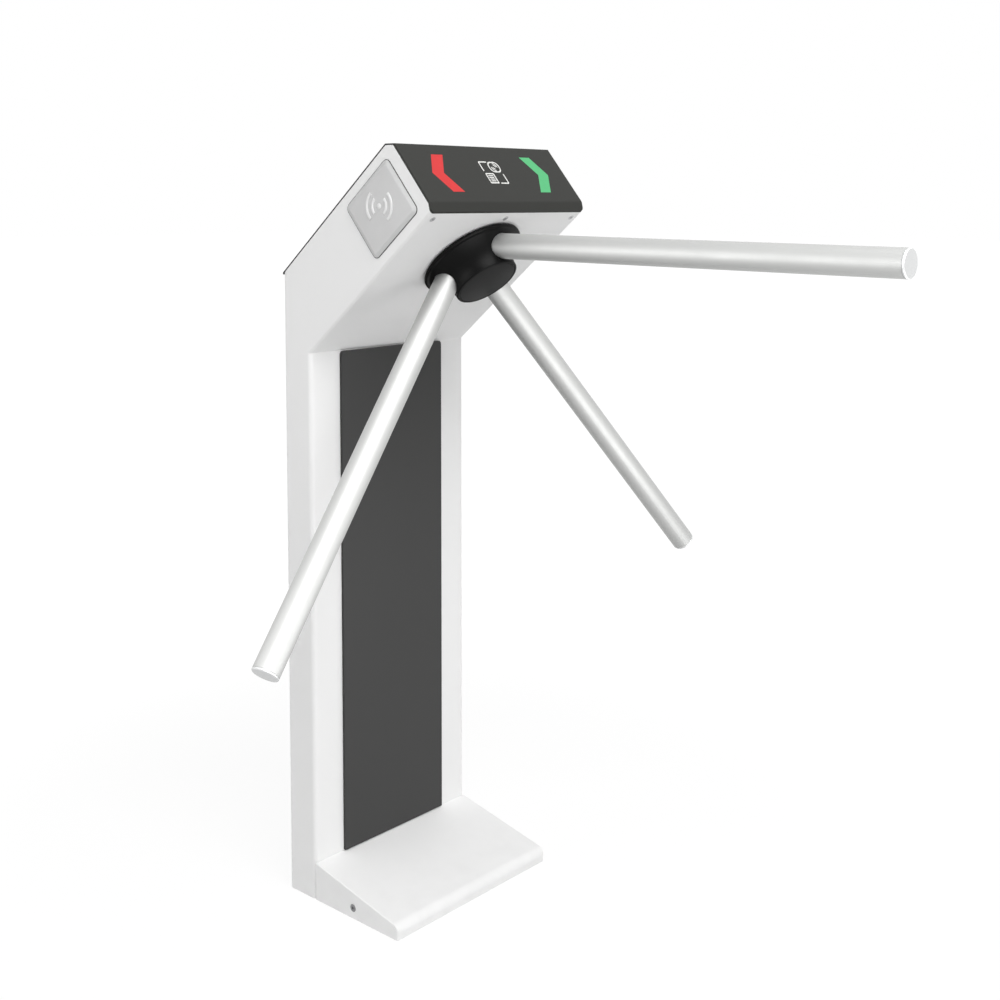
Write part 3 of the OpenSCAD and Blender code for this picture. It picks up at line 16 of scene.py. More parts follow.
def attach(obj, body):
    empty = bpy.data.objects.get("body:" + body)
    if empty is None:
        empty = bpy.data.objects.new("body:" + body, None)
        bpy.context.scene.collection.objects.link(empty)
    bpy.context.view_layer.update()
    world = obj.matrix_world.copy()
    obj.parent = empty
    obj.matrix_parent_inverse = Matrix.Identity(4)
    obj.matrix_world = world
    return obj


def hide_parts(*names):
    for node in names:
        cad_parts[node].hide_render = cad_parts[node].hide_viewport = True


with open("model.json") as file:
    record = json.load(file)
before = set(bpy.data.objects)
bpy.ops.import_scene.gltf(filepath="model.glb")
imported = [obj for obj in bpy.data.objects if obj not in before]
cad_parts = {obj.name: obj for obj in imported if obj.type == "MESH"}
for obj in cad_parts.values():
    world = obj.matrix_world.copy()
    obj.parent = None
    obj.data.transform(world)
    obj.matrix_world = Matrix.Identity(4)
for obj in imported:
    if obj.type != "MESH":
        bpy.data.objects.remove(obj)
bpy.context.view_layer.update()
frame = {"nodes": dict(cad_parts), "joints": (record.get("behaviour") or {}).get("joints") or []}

LOG = logging.getLogger("turnstile")
MM = 0.001
Colour = tuple[float, float, float]
Point = tuple[float, float]
Rows = tuple[tuple[float, ...], ...]
Face = bmesh.types.BMFace


class Value:
    """A number that varies over a surface. Python's operators on it add Math nodes."""

    def __init__(self, graph: "Graph", socket: bpy.types.NodeSocket) -> None:
        """Wraps the output socket of a graph that gives the number."""
        self.graph = graph
        self.socket = socket

    def maths(self, operation: str, *terms: "Operand") -> "Value":
        """Adds one Math node.

        Args:
            operation: The Math node's operation.
            terms: Its inputs in order.

        Returns:
            The node's result.
        """
        inputs = dict(enumerate(terms))
        made = self.graph.node("ShaderNodeMath", {"operation": operation}, inputs)
        return Value(self.graph, made.outputs[0])

    def __add__(self, other: "Operand") -> "Value":
        """Adds another number."""
        return self.maths("ADD", self, other)

    def __radd__(self, other: "Operand") -> "Value":
        """Adds this to another number."""
        return self.maths("ADD", other, self)

    def __sub__(self, other: "Operand") -> "Value":
        """Takes another number away."""
        return self.maths("SUBTRACT", self, other)

    def __rsub__(self, other: "Operand") -> "Value":
        """Takes this away from another number."""
        return self.maths("SUBTRACT", other, self)

    def __mul__(self, other: "Operand") -> "Value":
        """Multiplies by another number."""
        return self.maths("MULTIPLY", self, other)

    def __rmul__(self, other: "Operand") -> "Value":
        """Multiplies another number by this."""
        return self.maths("MULTIPLY", other, self)

    def __pow__(self, other: "Operand") -> "Value":
        """Raises to a power."""
        return self.maths("POWER", self, other)

    def sine(self) -> "Value":
        """Takes the sine of an angle in radians."""
        return self.maths("SINE", self)

    def ramp(self, low: float, high: float) -> "Value":
        """Rises smoothly from 0 at one value to 1 at another.

        Args:
            low: Where the ramp is 0.
            high: Where the ramp is 1.

        Returns:
            The ramped number.
        """
        made = self.graph.node(
            "ShaderNodeMapRange",
            {"interpolation_type": "SMOOTHSTEP"},
            {"Value": self, "From Min": low, "From Max": high, "To Min": 0.0, "To Max": 1.0},
        )
        return Value(self.graph, made.outputs["Result"])


Operand = Value | float | int | bpy.types.NodeSocket | Sequence[float]


class Graph:
    """The shader nodes of one material or world."""

    NOISE_ROUGHNESS = 0.55

    def __init__(self, tree: bpy.types.NodeTree) -> None:
        """Empties the node tree of a material or a world, to build in it."""
        self.tree = tree
        tree.nodes.clear()

    def feed(self, socket: bpy.types.NodeSocket, value: Operand) -> None:
        """Gives an input socket a link or a constant.

        Args:
            socket: The input socket.
            value: What it gets.
        """
        if isinstance(value, Value):
            value = value.socket
        if isinstance(value, bpy.types.NodeSocket):
            self.tree.links.new(value, socket)
        elif socket.type == "RGBA" and len(value) == 3:
            socket.default_value = (*value, 1.0)
        else:
            socket.default_value = value

    def node(
        self,
        kind: str,
        settings: Mapping[str, object] | None = None,
        inputs: Mapping[str | int, Operand] | None = None,
    ) -> bpy.types.Node:
        """Adds one node.

        Args:
            kind: The node's type.
            settings: Its settings, which are set first.
            inputs: The values or links of its input sockets, by name or number.

        Returns:
            The node.
        """
        made = self.tree.nodes.new(kind)
        for name, value in (settings or {}).items():
            setattr(made, name, value)
        for key, value in (inputs or {}).items():
            self.feed(made.inputs[key], value)
        return made

    def place(self, axis: Rows = (), stretch: Sequence[float] = ()) -> bpy.types.NodeSocket:
        """Reads the object's coordinates, in another frame where one is given.

        Args:
            axis: The rows of the frame to read them in, such as a tube's own axis.
            stretch: Factors for the three coordinates after that.

        Returns:
            A vector socket.
        """
        vector = self.node("ShaderNodeTexCoord").outputs["Object"]
        if axis:
            own = Matrix(axis)
            inputs = {"Vector": vector, "Location": own.to_translation()[:], "Rotation": own.to_euler()[:]}
            made = self.node("ShaderNodeMapping", {"vector_type": "TEXTURE"}, inputs)
            vector = made.outputs["Vector"]
        if stretch:
            made = self.node("ShaderNodeVectorMath", {"operation": "MULTIPLY"}, {0: vector, 1: stretch})
            vector = made.outputs["Vector"]
        return vector

    def split(self, vector: Operand) -> tuple[Value, Value, Value]:
        """Splits a vector.

        Args:
            vector: The vector socket.

        Returns:
            Its three numbers.
        """
        made = self.node("ShaderNodeSeparateXYZ", None, {0: vector})
        x, y, z = (Value(self, made.outputs[i]) for i in range(3))
        return x, y, z

    def noise(self, vector: Operand, grain: float, detail: float = 2.0) -> Value:
        """Adds soft noise.

        Args:
            vector: Where it is read.
            grain: The size of its features in metres.
            detail: How many finer layers it has.

        Returns:
            A number about 0.5.
        """
        made = self.node(
            "ShaderNodeTexNoise",
            {"noise_dimensions": "3D"},
            {"Vector": vector, "Scale": 1.0 / grain, "Detail": detail, "Roughness": self.NOISE_ROUGHNESS},
        )
        return Value(self, made.outputs[0])

    def cells(self, vector: Operand, grain: float) -> Value:
        """Adds a cell pattern.

        Args:
            vector: Where it is read.
            grain: The size of a cell in metres.

        Returns:
            The distance to the nearest cell centre, in cells.
        """
        made = self.node(
            "ShaderNodeTexVoronoi", {"feature": "F1"}, {"Vector": vector, "Scale": 1.0 / grain}
        )
        return Value(self, made.outputs["Distance"])

    def blend(self, share: Operand, first: Operand, second: Operand) -> bpy.types.NodeSocket:
        """Mixes two colours. The share is how much it takes of the second one."""
        made = self.node("ShaderNodeMix", {"data_type": "RGBA"}, {0: share, 6: first, 7: second})
        return made.outputs[2]

    def relief(self, height: Value, depth: float, strength: float = 0.5) -> bpy.types.NodeSocket:
        """Turns a height into a bump.

        Args:
            height: The height, in units of the depth.
            depth: The depth in metres.
            strength: How strongly the bump shows.

        Returns:
            The normal socket.
        """
        made = self.node(
            "ShaderNodeBump", None, {"Height": height, "Distance": depth, "Strength": strength}
        )
        return made.outputs["Normal"]

    def close(self, output: str, share: Value, first: bpy.types.Node, second: bpy.types.Node) -> None:
        """Mixes two shaders into the graph's output.

        Args:
            output: The output node's type.
            share: How much of the second shader.
            first: The first shader's node.
            second: The second shader's node.
        """
        inputs = {0: share, 1: first.outputs[0], 2: second.outputs[0]}
        both = self.node("ShaderNodeMixShader", None, inputs)
        self.node(output, None, {"Surface": both.outputs[0]})


def shade(colour: Colour, factor: float) -> Colour:
    """Multiplies the channels of a colour by a factor, up to 1."""
    return tuple(min(1.0, channel * factor) for channel in colour)


@dataclass(frozen=True)
class Finish(ABC):
    """A surface finish, made into a material the first time it is used. Its sizes are in metres."""

    name: str
    colour: Colour
    roughness: float

    def make(self) -> bpy.types.Material:
        """Builds the finish's material, if it isn't there yet.

        Returns:
            The material.
        """
        name = f"{self.name}_finish"
        found = bpy.data.materials.get(name)
        if found is not None:
            return found
        material = bpy.data.materials.new(name)
        material.use_nodes = True
        graph = Graph(material.node_tree)
        shader = graph.node("ShaderNodeBsdfPrincipled")
        graph.node("ShaderNodeOutputMaterial", None, {"Surface": shader.outputs["BSDF"]})
        for socket, value in self.dress(graph).items():
            graph.feed(shader.inputs[socket], value)
        material.diffuse_color = (*self.colour, 1.0)
        return material

    def tones(self, graph: Graph, share: Operand, swing: float) -> bpy.types.NodeSocket:
        """Mottles the colour between tones that are darker and lighter by the swing, as a share of it."""
        return graph.blend(share, shade(self.colour, 1.0 - swing), shade(self.colour, 1.0 + swing))

    def worn(self, *swings: tuple[Value, float]) -> Value:
        """Varies the roughness by noises, each of them about 0.5.

        Args:
            swings: Each noise with how far it moves the roughness.

        Returns:
            The roughness.
        """
        total = self.roughness
        for noise, swing in swings:
            total = total + (noise - 0.5) * swing
        return total

    @abstractmethod
    def dress(self, graph: Graph) -> dict[str, Operand]:
        """Builds the finish's nodes.

        Args:
            graph: The material's graph.

        Returns:
            What goes into each socket of the surface shader.
        """


@dataclass(frozen=True)
class PowderCoat(Finish):
    """Powder coat on sheet steel, with the fine orange peel of a baked finish."""

    peel: float = 0.0016
    peel_depth: float = 0.00003
    peel_swing: float = 0.10
    specks_a_peel: float = 5.0
    speck_depth_share: float = 0.25
    speck_swing: float = 0.08
    mottle: float = 0.02
    mottle_size: float = 0.22
    low_darkening: float = 0.0
    darkening_height: float = 0.06
    darkening_size: float = 0.03
    darkening_tone: float = 0.55
    gloss_level: float = 0.5

    def dress(self, graph: Graph) -> dict[str, Operand]:
        """Gives the coat its peel, its faint mottle and a faint patchy darkening towards the floor.

        Args:
            graph: The material's graph.

        Returns:
            What goes into each socket of the surface shader.
        """
        place = graph.place()
        peel = graph.noise(place, self.peel, 1.0)
        speck = graph.noise(place, self.peel / self.specks_a_peel, 1.0)
        tint = self.tones(graph, graph.noise(place, self.mottle_size, 3.0), self.mottle)
        # The coat turns darker in patches within a few centimetres of the floor.
        height = graph.split(place)[2]
        patches = graph.noise(place, self.darkening_size, 4.0).ramp(0.35, 0.75)
        low = (1.0 - height.ramp(0.0, self.darkening_height)) * patches
        return {
            "Base Color": graph.blend(low * self.low_darkening, tint, shade(self.colour, self.darkening_tone)),
            "Roughness": self.worn((peel, self.peel_swing), (speck, self.speck_swing)),
            "Normal": graph.relief(peel + speck * self.speck_depth_share, self.peel_depth),
            "Specular IOR Level": self.gloss_level,
        }


@dataclass(frozen=True)
class MouldedPlastic(Finish):
    """Moulded plastic with a spark-eroded skin."""

    grain: float = 0.0006
    depth: float = 0.00003
    flow_size: float = 0.05
    flow_stretch: tuple[float, float, float] = (1.0, 0.35, 1.0)
    flow_mottle: float = 0.08
    flow_swing: float = 0.12
    scuff: float = 0.06
    scuff_size: float = 0.004
    scuff_tone: float = 1.9
    scuff_dulling: float = 0.06
    gloss_level: float = 0.5

    def dress(self, graph: Graph) -> dict[str, Operand]:
        """Gives the plastic its skin, flow marks and faint scuffs.

        Args:
            graph: The material's graph.

        Returns:
            What goes into each socket of the surface shader.
        """
        place = graph.place()
        skin = graph.cells(place, self.grain)
        flow = graph.noise(graph.place(stretch=self.flow_stretch), self.flow_size, 2.0)
        scuff = graph.noise(place, self.scuff_size, 5.0).ramp(0.62, 0.8)
        tint = self.tones(graph, flow, self.flow_mottle)
        return {
            "Base Color": graph.blend(scuff * self.scuff, tint, shade(self.colour, self.scuff_tone)),
            "Roughness": self.worn((flow, self.flow_swing)) + scuff * self.scuff_dulling,
            "Normal": graph.relief(skin, self.depth, 0.45),
            "Specular IOR Level": self.gloss_level,
        }


@dataclass(frozen=True)
class LitLens(Finish):
    """A diffusing lens lit from behind by rows of lamps."""

    glow: Colour = (1.0, 1.0, 1.0)
    strength: float = 1.0
    dim_tone: float = 0.9
    pitch: float = 0.009
    lamp_share: float = 0.35
    haze_size: float = 0.02
    haze_share: float = 0.4
    skin_size: float = 0.0007
    skin_depth: float = 0.00001
    skin_swing: float = 0.1
    gloss_level: float = 0.2

    def dress(self, graph: Graph) -> dict[str, Operand]:
        """Gives the lens its even glow, a little brighter over each lamp.

        Args:
            graph: The material's graph.

        Returns:
            What goes into each socket of the surface shader.
        """
        place = graph.place()
        lamps = graph.cells(place, self.pitch).ramp(0.55, 0.1)
        haze = graph.noise(place, self.haze_size, 2.0)
        skin = graph.noise(place, self.skin_size, 1.0)
        level = lamps * self.lamp_share + haze * self.haze_share
        return {
            "Base Color": graph.blend(haze, shade(self.colour, self.dim_tone), self.colour),
            "Roughness": self.worn((skin, self.skin_swing)),
            "Emission Color": graph.blend(level, shade(self.glow, self.dim_tone), self.glow),
            "Emission Strength": self.strength,
            "Normal": graph.relief(skin, self.skin_depth, 0.3),
            "Specular IOR Level": self.gloss_level,
        }


class Grain(Enum):
    """The way a metal surface was worked."""

    DRAWN = "long fine lines along a tube or a rolled sheet"
    TURNED = "rings about an axis"
    CAST = "the pebbled skin of a casting"
    PLATED = "a soft bright plating"


@dataclass(frozen=True)
class Metal(Finish):
    """Bare, plated or anodised metal."""

    grain: Grain = Grain.PLATED
    axis: Rows = ()
    line: float = 0.0006
    depth: float = 0.000008
    contrast: float = 0.08
    line_swing: float = 0.14
    draw: float = 0.012
    ring_pitch_share: float = 0.2
    pebble_share: float = 3.0
    cloud: float = 0.3
    cloud_size: float = 0.03
    cloud_tone: float = 0.86
    cloud_swing: float = 0.08

    def marks(self, graph: Graph, place: bpy.types.NodeSocket) -> Value:
        """Builds the marks that the working left.

        Args:
            graph: The material's graph.
            place: The coordinates along the metal's axis.

        Returns:
            The marks as a number about 0.5.
        """
        if self.grain is Grain.DRAWN:
            return graph.noise(graph.place(self.axis, (1.0, 1.0, self.draw)), self.line, 2.0)
        if self.grain is Grain.TURNED:
            x, y, z = graph.split(place)
            inputs = {0: (x * x + y * y) ** 0.5, 1: z * self.ring_pitch_share}
            rings = graph.node("ShaderNodeCombineXYZ", None, inputs)
            return graph.noise(rings.outputs[0], self.line, 2.0)
        if self.grain is Grain.CAST:
            return graph.cells(place, self.line) + graph.noise(place, self.line * self.pebble_share, 2.0)
        return graph.noise(place, self.line, 3.0)

    def dress(self, graph: Graph) -> dict[str, Operand]:
        """Gives the metal its lines, rings, pebbles or plating.

        Args:
            graph: The material's graph.

        Returns:
            What goes into each socket of the surface shader.
        """
        place = graph.place(self.axis)
        cloud = graph.noise(place, self.cloud_size, 3.0)
        marks = self.marks(graph, place)
        tint = self.tones(graph, marks, self.contrast)
        return {
            "Base Color": graph.blend(cloud * self.cloud, tint, shade(self.colour, self.cloud_tone)),
            "Metallic": 1.0,
            "Roughness": self.worn((marks, self.line_swing), (cloud, self.cloud_swing)),
            "Normal": graph.relief(marks, self.depth),
        }


@dataclass(frozen=True)
class Rubber(Finish):
    """Soft black rubber, dull and a little dusty."""

    pore: float = 0.0009
    pore_depth: float = 0.00004
    bloom_size: float = 0.02
    bloom_tone: float = 1.7
    bloom_swing: float = 0.15

    def dress(self, graph: Graph) -> dict[str, Operand]:
        """Gives the rubber its pores and its dusty bloom.

        Args:
            graph: The material's graph.

        Returns:
            What goes into each socket of the surface shader.
        """
        place = graph.place()
        bloom = graph.noise(place, self.bloom_size, 4.0)
        return {
            "Base Color": graph.blend(bloom, self.colour, shade(self.colour, self.bloom_tone)),
            "Roughness": self.worn((bloom, self.bloom_swing)),
            "Normal": graph.relief(graph.cells(place, self.pore), self.pore_depth, 0.4),
        }


@dataclass(frozen=True)
class PrintedBoard(Finish):
    """A printed board: solder mask over tracks, with tinned pads."""

    axis: Rows = ()
    track_w: float = 0.0004
    track_run: float = 0.011
    track_pitch: float = 0.0024
    track_tone: float = 1.8
    pad_pitch: float = 0.0045
    pad_metal: float = 0.9
    pad_dulling: float = 0.1
    tin: Colour = (0.62, 0.62, 0.60)
    cloth: float = 0.0004
    cloth_swing: float = 0.12
    depth: float = 0.00004

    def dress(self, graph: Graph) -> dict[str, Operand]:
        """Gives the board its tracks, its pads and the cloth under its mask.

        Args:
            graph: The material's graph.

        Returns:
            What goes into each socket of the surface shader.
        """
        place = graph.place(self.axis)
        bricks = graph.node(
            "ShaderNodeTexBrick",
            {"offset": 0.35, "squash": 1.8, "squash_frequency": 3},
            {
                "Vector": place,
                "Scale": 1.0,
                "Mortar Size": self.track_w,
                "Brick Width": self.track_run,
                "Row Height": self.track_pitch,
            },
        )
        tracks = Value(graph, bricks.outputs["Fac"])
        pads = graph.cells(place, self.pad_pitch).ramp(0.16, 0.12)
        cloth = graph.noise(place, self.cloth, 1.0)
        mask = graph.blend(tracks, self.colour, shade(self.colour, self.track_tone))
        return {
            "Base Color": graph.blend(pads, mask, self.tin),
            "Metallic": pads * self.pad_metal,
            "Roughness": self.worn((cloth, self.cloth_swing)) + pads * self.pad_dulling,
            "Normal": graph.relief(tracks + pads * 0.5, self.depth),
        }


@dataclass(frozen=True)
class Sleeve(Finish):
    """Ribbed cable sleeve."""

    rib: float = 0.0024
    rib_depth: float = 0.0002
    rub_size: float = 0.01
    rub_swing: float = 0.15
    root_tone: float = 0.7
    crest_tone: float = 1.8

    def dress(self, graph: Graph) -> dict[str, Operand]:
        """Gives the sleeve its ribs and rubbed crests.

        Args:
            graph: The material's graph.

        Returns:
            What goes into each socket of the surface shader.
        """
        place = graph.place()
        x, y, z = graph.split(place)
        ribs = ((x + y + z) * (2.0 * math.pi / self.rib)).sine()
        rubbed = graph.noise(place, self.rub_size, 3.0)
        crests = ribs.ramp(-0.4, 1.0) * rubbed
        root, crest = (shade(self.colour, tone) for tone in (self.root_tone, self.crest_tone))
        return {
            "Base Color": graph.blend(crests, root, crest),
            "Roughness": self.worn((rubbed, self.rub_swing)),
            "Normal": graph.relief(ribs, self.rib_depth),
        }


@dataclass(frozen=True)
class SlopeFrame:
    """The head's own frame in millimetres: s up the slope, y across, n square to the underside.

    The CAD frame gives the rotor's axis, and the point on it where the arms' axes meet. That point
    lies at hub_run and axes_depth in the slope frame.
    """

    joint: str = "rotor_spin"
    hub_run: float = 193.0
    axes_depth: float = 19.5

    def matrix(self, s: float = 0.0, y: float = 0.0, n: float = 0.0) -> Matrix:
        """Takes millimetres about a point of the slope frame to metres.

        Args:
            s: The point's place up the slope.
            y: Its place across.
            n: Its place square to the underside.

        Returns:
            The matrix.
        """
        rotor = next(row for row in frame["joints"] if row["name"] == self.joint)
        across = Vector((0.0, 1.0, 0.0))
        square = Vector(rotor["axis"])
        turn = Matrix((across.cross(square), across, square)).transposed().to_4x4()
        point = Matrix.Translation((s - self.hub_run, y, n - self.axes_depth))
        return Matrix.Translation(rotor["pos_m"]) @ turn @ Matrix.Scale(MM, 4) @ point

    def on_axis(self, n: float) -> Matrix:
        """Takes millimetres about the point of the rotor's axis that lies at n to metres."""
        return self.matrix(self.hub_run, 0.0, n)


SLOPE = SlopeFrame()


@dataclass(frozen=True)
class Span:
    """How far a CAD node reaches in the slope frame, with s, y and n as x, y and z."""

    low: Vector
    high: Vector

    @classmethod
    def of(cls, node: str) -> "Span":
        """Measures a node to a hundredth of a millimetre.

        Args:
            node: The node's name.

        Returns:
            Its span.
        """
        back = SLOPE.matrix().inverted()
        points = [back @ vertex.co for vertex in frame["nodes"][node].data.vertices]
        ends = [[round(end(point[i] for point in points), 2) for i in range(3)] for end in (min, max)]
        return cls(*(Vector(end) for end in ends))

    @property
    def size(self) -> Vector:
        """Its three sizes."""
        return self.high - self.low

    @property
    def middle(self) -> Vector:
        """Its middle point."""
        return (self.low + self.high) / 2.0


# The angle between an arm and the rotor's axis, in degrees.
ARM_SPREAD = 49.4
# Stands a flat drawing up, so that it faces along the first axis.
FACING_FRONT = Matrix(((0, 0, 1, 0), (1, 0, 0, 0), (0, 1, 0, 0), (0, 0, 0, 1)))


def rows(matrix: Matrix) -> Rows:
    """Writes a matrix without its scale as plain rows, so that a finish can hold it.

    Args:
        matrix: The matrix.

    Returns:
        Its rows.
    """
    place, turn, _ = matrix.decompose()
    plain = Matrix.Translation(place) @ turn.to_matrix().to_4x4()
    return tuple(tuple(row) for row in plain)


def arm_axis(index: int) -> Matrix:
    """Finds the frame of an arm, whose third axis runs along the tube.

    Args:
        index: The arm's number from 0.

    Returns:
        The frame, from millimetres to metres.
    """
    spin = Matrix.Rotation(math.radians(120.0 * index), 4, "Z")
    lean = Matrix.Rotation(math.radians(180.0 - ARM_SPREAD), 4, "Y")
    return SLOPE.on_axis(SLOPE.axes_depth) @ spin @ lean


HUB_AXIS = rows(SLOPE.on_axis(0.0))
WALL_AXIS = rows(FACING_FRONT)
SIDE_AXIS = rows(SLOPE.matrix() @ Matrix.Rotation(math.radians(90.0), 4, "X"))
END_AXIS = rows(SLOPE.matrix() @ FACING_FRONT)

WHITE = PowderCoat("white_coat", (0.82, 0.82, 0.818), 0.45, low_darkening=0.10, gloss_level=0.35)
DARK = PowderCoat(
    "dark_coat", (0.0425, 0.0425, 0.042), 0.46, mottle=0.05, peel=0.0012, gloss_level=0.2
)
# A darker copy of the dark coat for the end panel: painted shade, which offsets the stronger light on the
# end panel's slope.
END_PAINTED_SHADE = PowderCoat("end_coat_painted_shade", (0.027, 0.0275, 0.0252), 0.5, mottle=0.05, peel=0.0012, gloss_level=0.12)
LID = PowderCoat("lid_coat", (0.020, 0.020, 0.020), 0.48, mottle=0.06, peel=0.0014, gloss_level=0.2)
MOTOR = PowderCoat("motor_coat", (0.10, 0.105, 0.11), 0.5, mottle=0.06)
COIL = PowderCoat("coil_coat", (0.16, 0.13, 0.075), 0.55, mottle=0.1, peel=0.003)
PRINT = PowderCoat("panel_print", (0.68, 0.68, 0.66), 0.5, mottle=0.03, peel=0.0008)
RED = LitLens("red_lens", (0.20, 0.012, 0.012), 0.4, glow=(0.53, 0.019, 0.021))
GREEN = LitLens("green_lens", (0.03, 0.16, 0.06), 0.4, glow=(0.068, 0.37, 0.154))
PAD = MouldedPlastic("pad_plastic", (0.55, 0.55, 0.55), 0.42, grain=0.0008, depth=0.00001)
PAD_SIGN = MouldedPlastic("pad_sign_plastic", (0.73, 0.73, 0.73), 0.42, grain=0.0008, depth=0.00001)
HUB = MouldedPlastic("hub_plastic", (0.004, 0.004, 0.004), 0.42, scuff=0.03, gloss_level=0.07)
CAP = MouldedPlastic("cap_plastic", (0.0145, 0.0145, 0.0145), 0.55, grain=0.0008, gloss_level=0.09)
SENSOR = MouldedPlastic("sensor_plastic", (0.02, 0.02, 0.02), 0.5)
TERMINAL = MouldedPlastic("terminal_plastic", (0.58, 0.50, 0.32), 0.5)
NYLON = MouldedPlastic("clip_nylon", (0.70, 0.70, 0.67), 0.45)
# Black rubber for the cable grommet. The same finish makes the black rings round the reader pads, which
# are painted shadow.
RUBBER_AND_PAINTED_SHADOW = Rubber("rubber_black", (0.018, 0.018, 0.018), 0.75)
LOOM = Sleeve("loom_sleeve", (0.02, 0.02, 0.022), 0.6)
CAST = Metal("cast_metal", (0.45, 0.46, 0.47), 0.5, grain=Grain.CAST, line=0.0012, depth=0.00006)
SUPPLY = Metal("supply_metal", (0.58, 0.59, 0.60), 0.4, grain=Grain.DRAWN, axis=WALL_AXIS)
ARM_CAP = Metal("arm_cap_metal", (0.60, 0.605, 0.605), 0.55, line=0.0009, contrast=0.04)
SHEET = Metal("plate_steel", (0.52, 0.53, 0.54), 0.38, line=0.002)
MACHINED = Metal("machined_steel", (0.58, 0.58, 0.58), 0.3, grain=Grain.TURNED, axis=HUB_AXIS)
WHEEL = Metal("wheel_steel", (0.34, 0.36, 0.38), 0.36, grain=Grain.TURNED, axis=HUB_AXIS)
RING = Metal("ring_steel", (0.66, 0.66, 0.67), 0.15, grain=Grain.TURNED, axis=HUB_AXIS, line=0.0003)
BRONZE = Metal("gear_bronze", (0.62, 0.42, 0.18), 0.3, grain=Grain.TURNED, axis=HUB_AXIS)
BRASS = Metal("stud_brass", (0.75, 0.56, 0.24), 0.28)
FASTENER = Metal("fastener_steel", (0.50, 0.50, 0.51), 0.36)
PLAIN_SCREW = Metal("plain_screw_steel", (0.24, 0.24, 0.245), 0.38)
BLACK_FASTENER = Metal("black_fastener", (0.045, 0.045, 0.047), 0.45)
BOARD_WALL, BOARD_SIDE, BOARD_END = (
    PrintedBoard(name, (0.010, 0.085, 0.035), 0.35, axis=axis)
    for name, axis in (
        ("board_green", WALL_AXIS),
        ("board_green_side", SIDE_AXIS),
        ("board_green_end", END_AXIS),
    )
)
ARMS = tuple(
    Metal(
        f"arm_metal_{index + 1}",
        (0.46, 0.463, 0.457),
        0.60,
        grain=Grain.DRAWN,
        axis=rows(arm_axis(index)),
        line=0.0009,
        depth=0.000002,
        contrast=0.025,
    )
    for index in range(3)
)


def add_object(name: str, data: bpy.types.ID) -> bpy.types.Object:
    """Puts a mesh, a lamp or a camera into the scene.

    Args:
        name: The object's name.
        data: What it shows.

    Returns:
        The object.
    """
    made = bpy.data.objects.new(name, data)
    bpy.context.scene.collection.objects.link(made)
    return made


def arc(middle: Point, reach: Point, start: float, turn: float, steps: int) -> list[Point]:
    """Works out the points of an arc of a circle or an ellipse.

    Args:
        middle: Its middle.
        reach: Its half width and half height.
        start: The angle that it starts at, in degrees.
        turn: How far it turns, in degrees.
        steps: Its segments.

    Returns:
        The points.
    """
    angles = [math.radians(start + turn * i / steps) for i in range(steps + 1)]
    return [(middle[0] + reach[0] * math.cos(a), middle[1] + reach[1] * math.sin(a)) for a in angles]


class Rounded(Enum):
    """What a bevel rounds, by the operator's own word."""

    CORNERS = "VERTICES"
    EDGES = "EDGES"


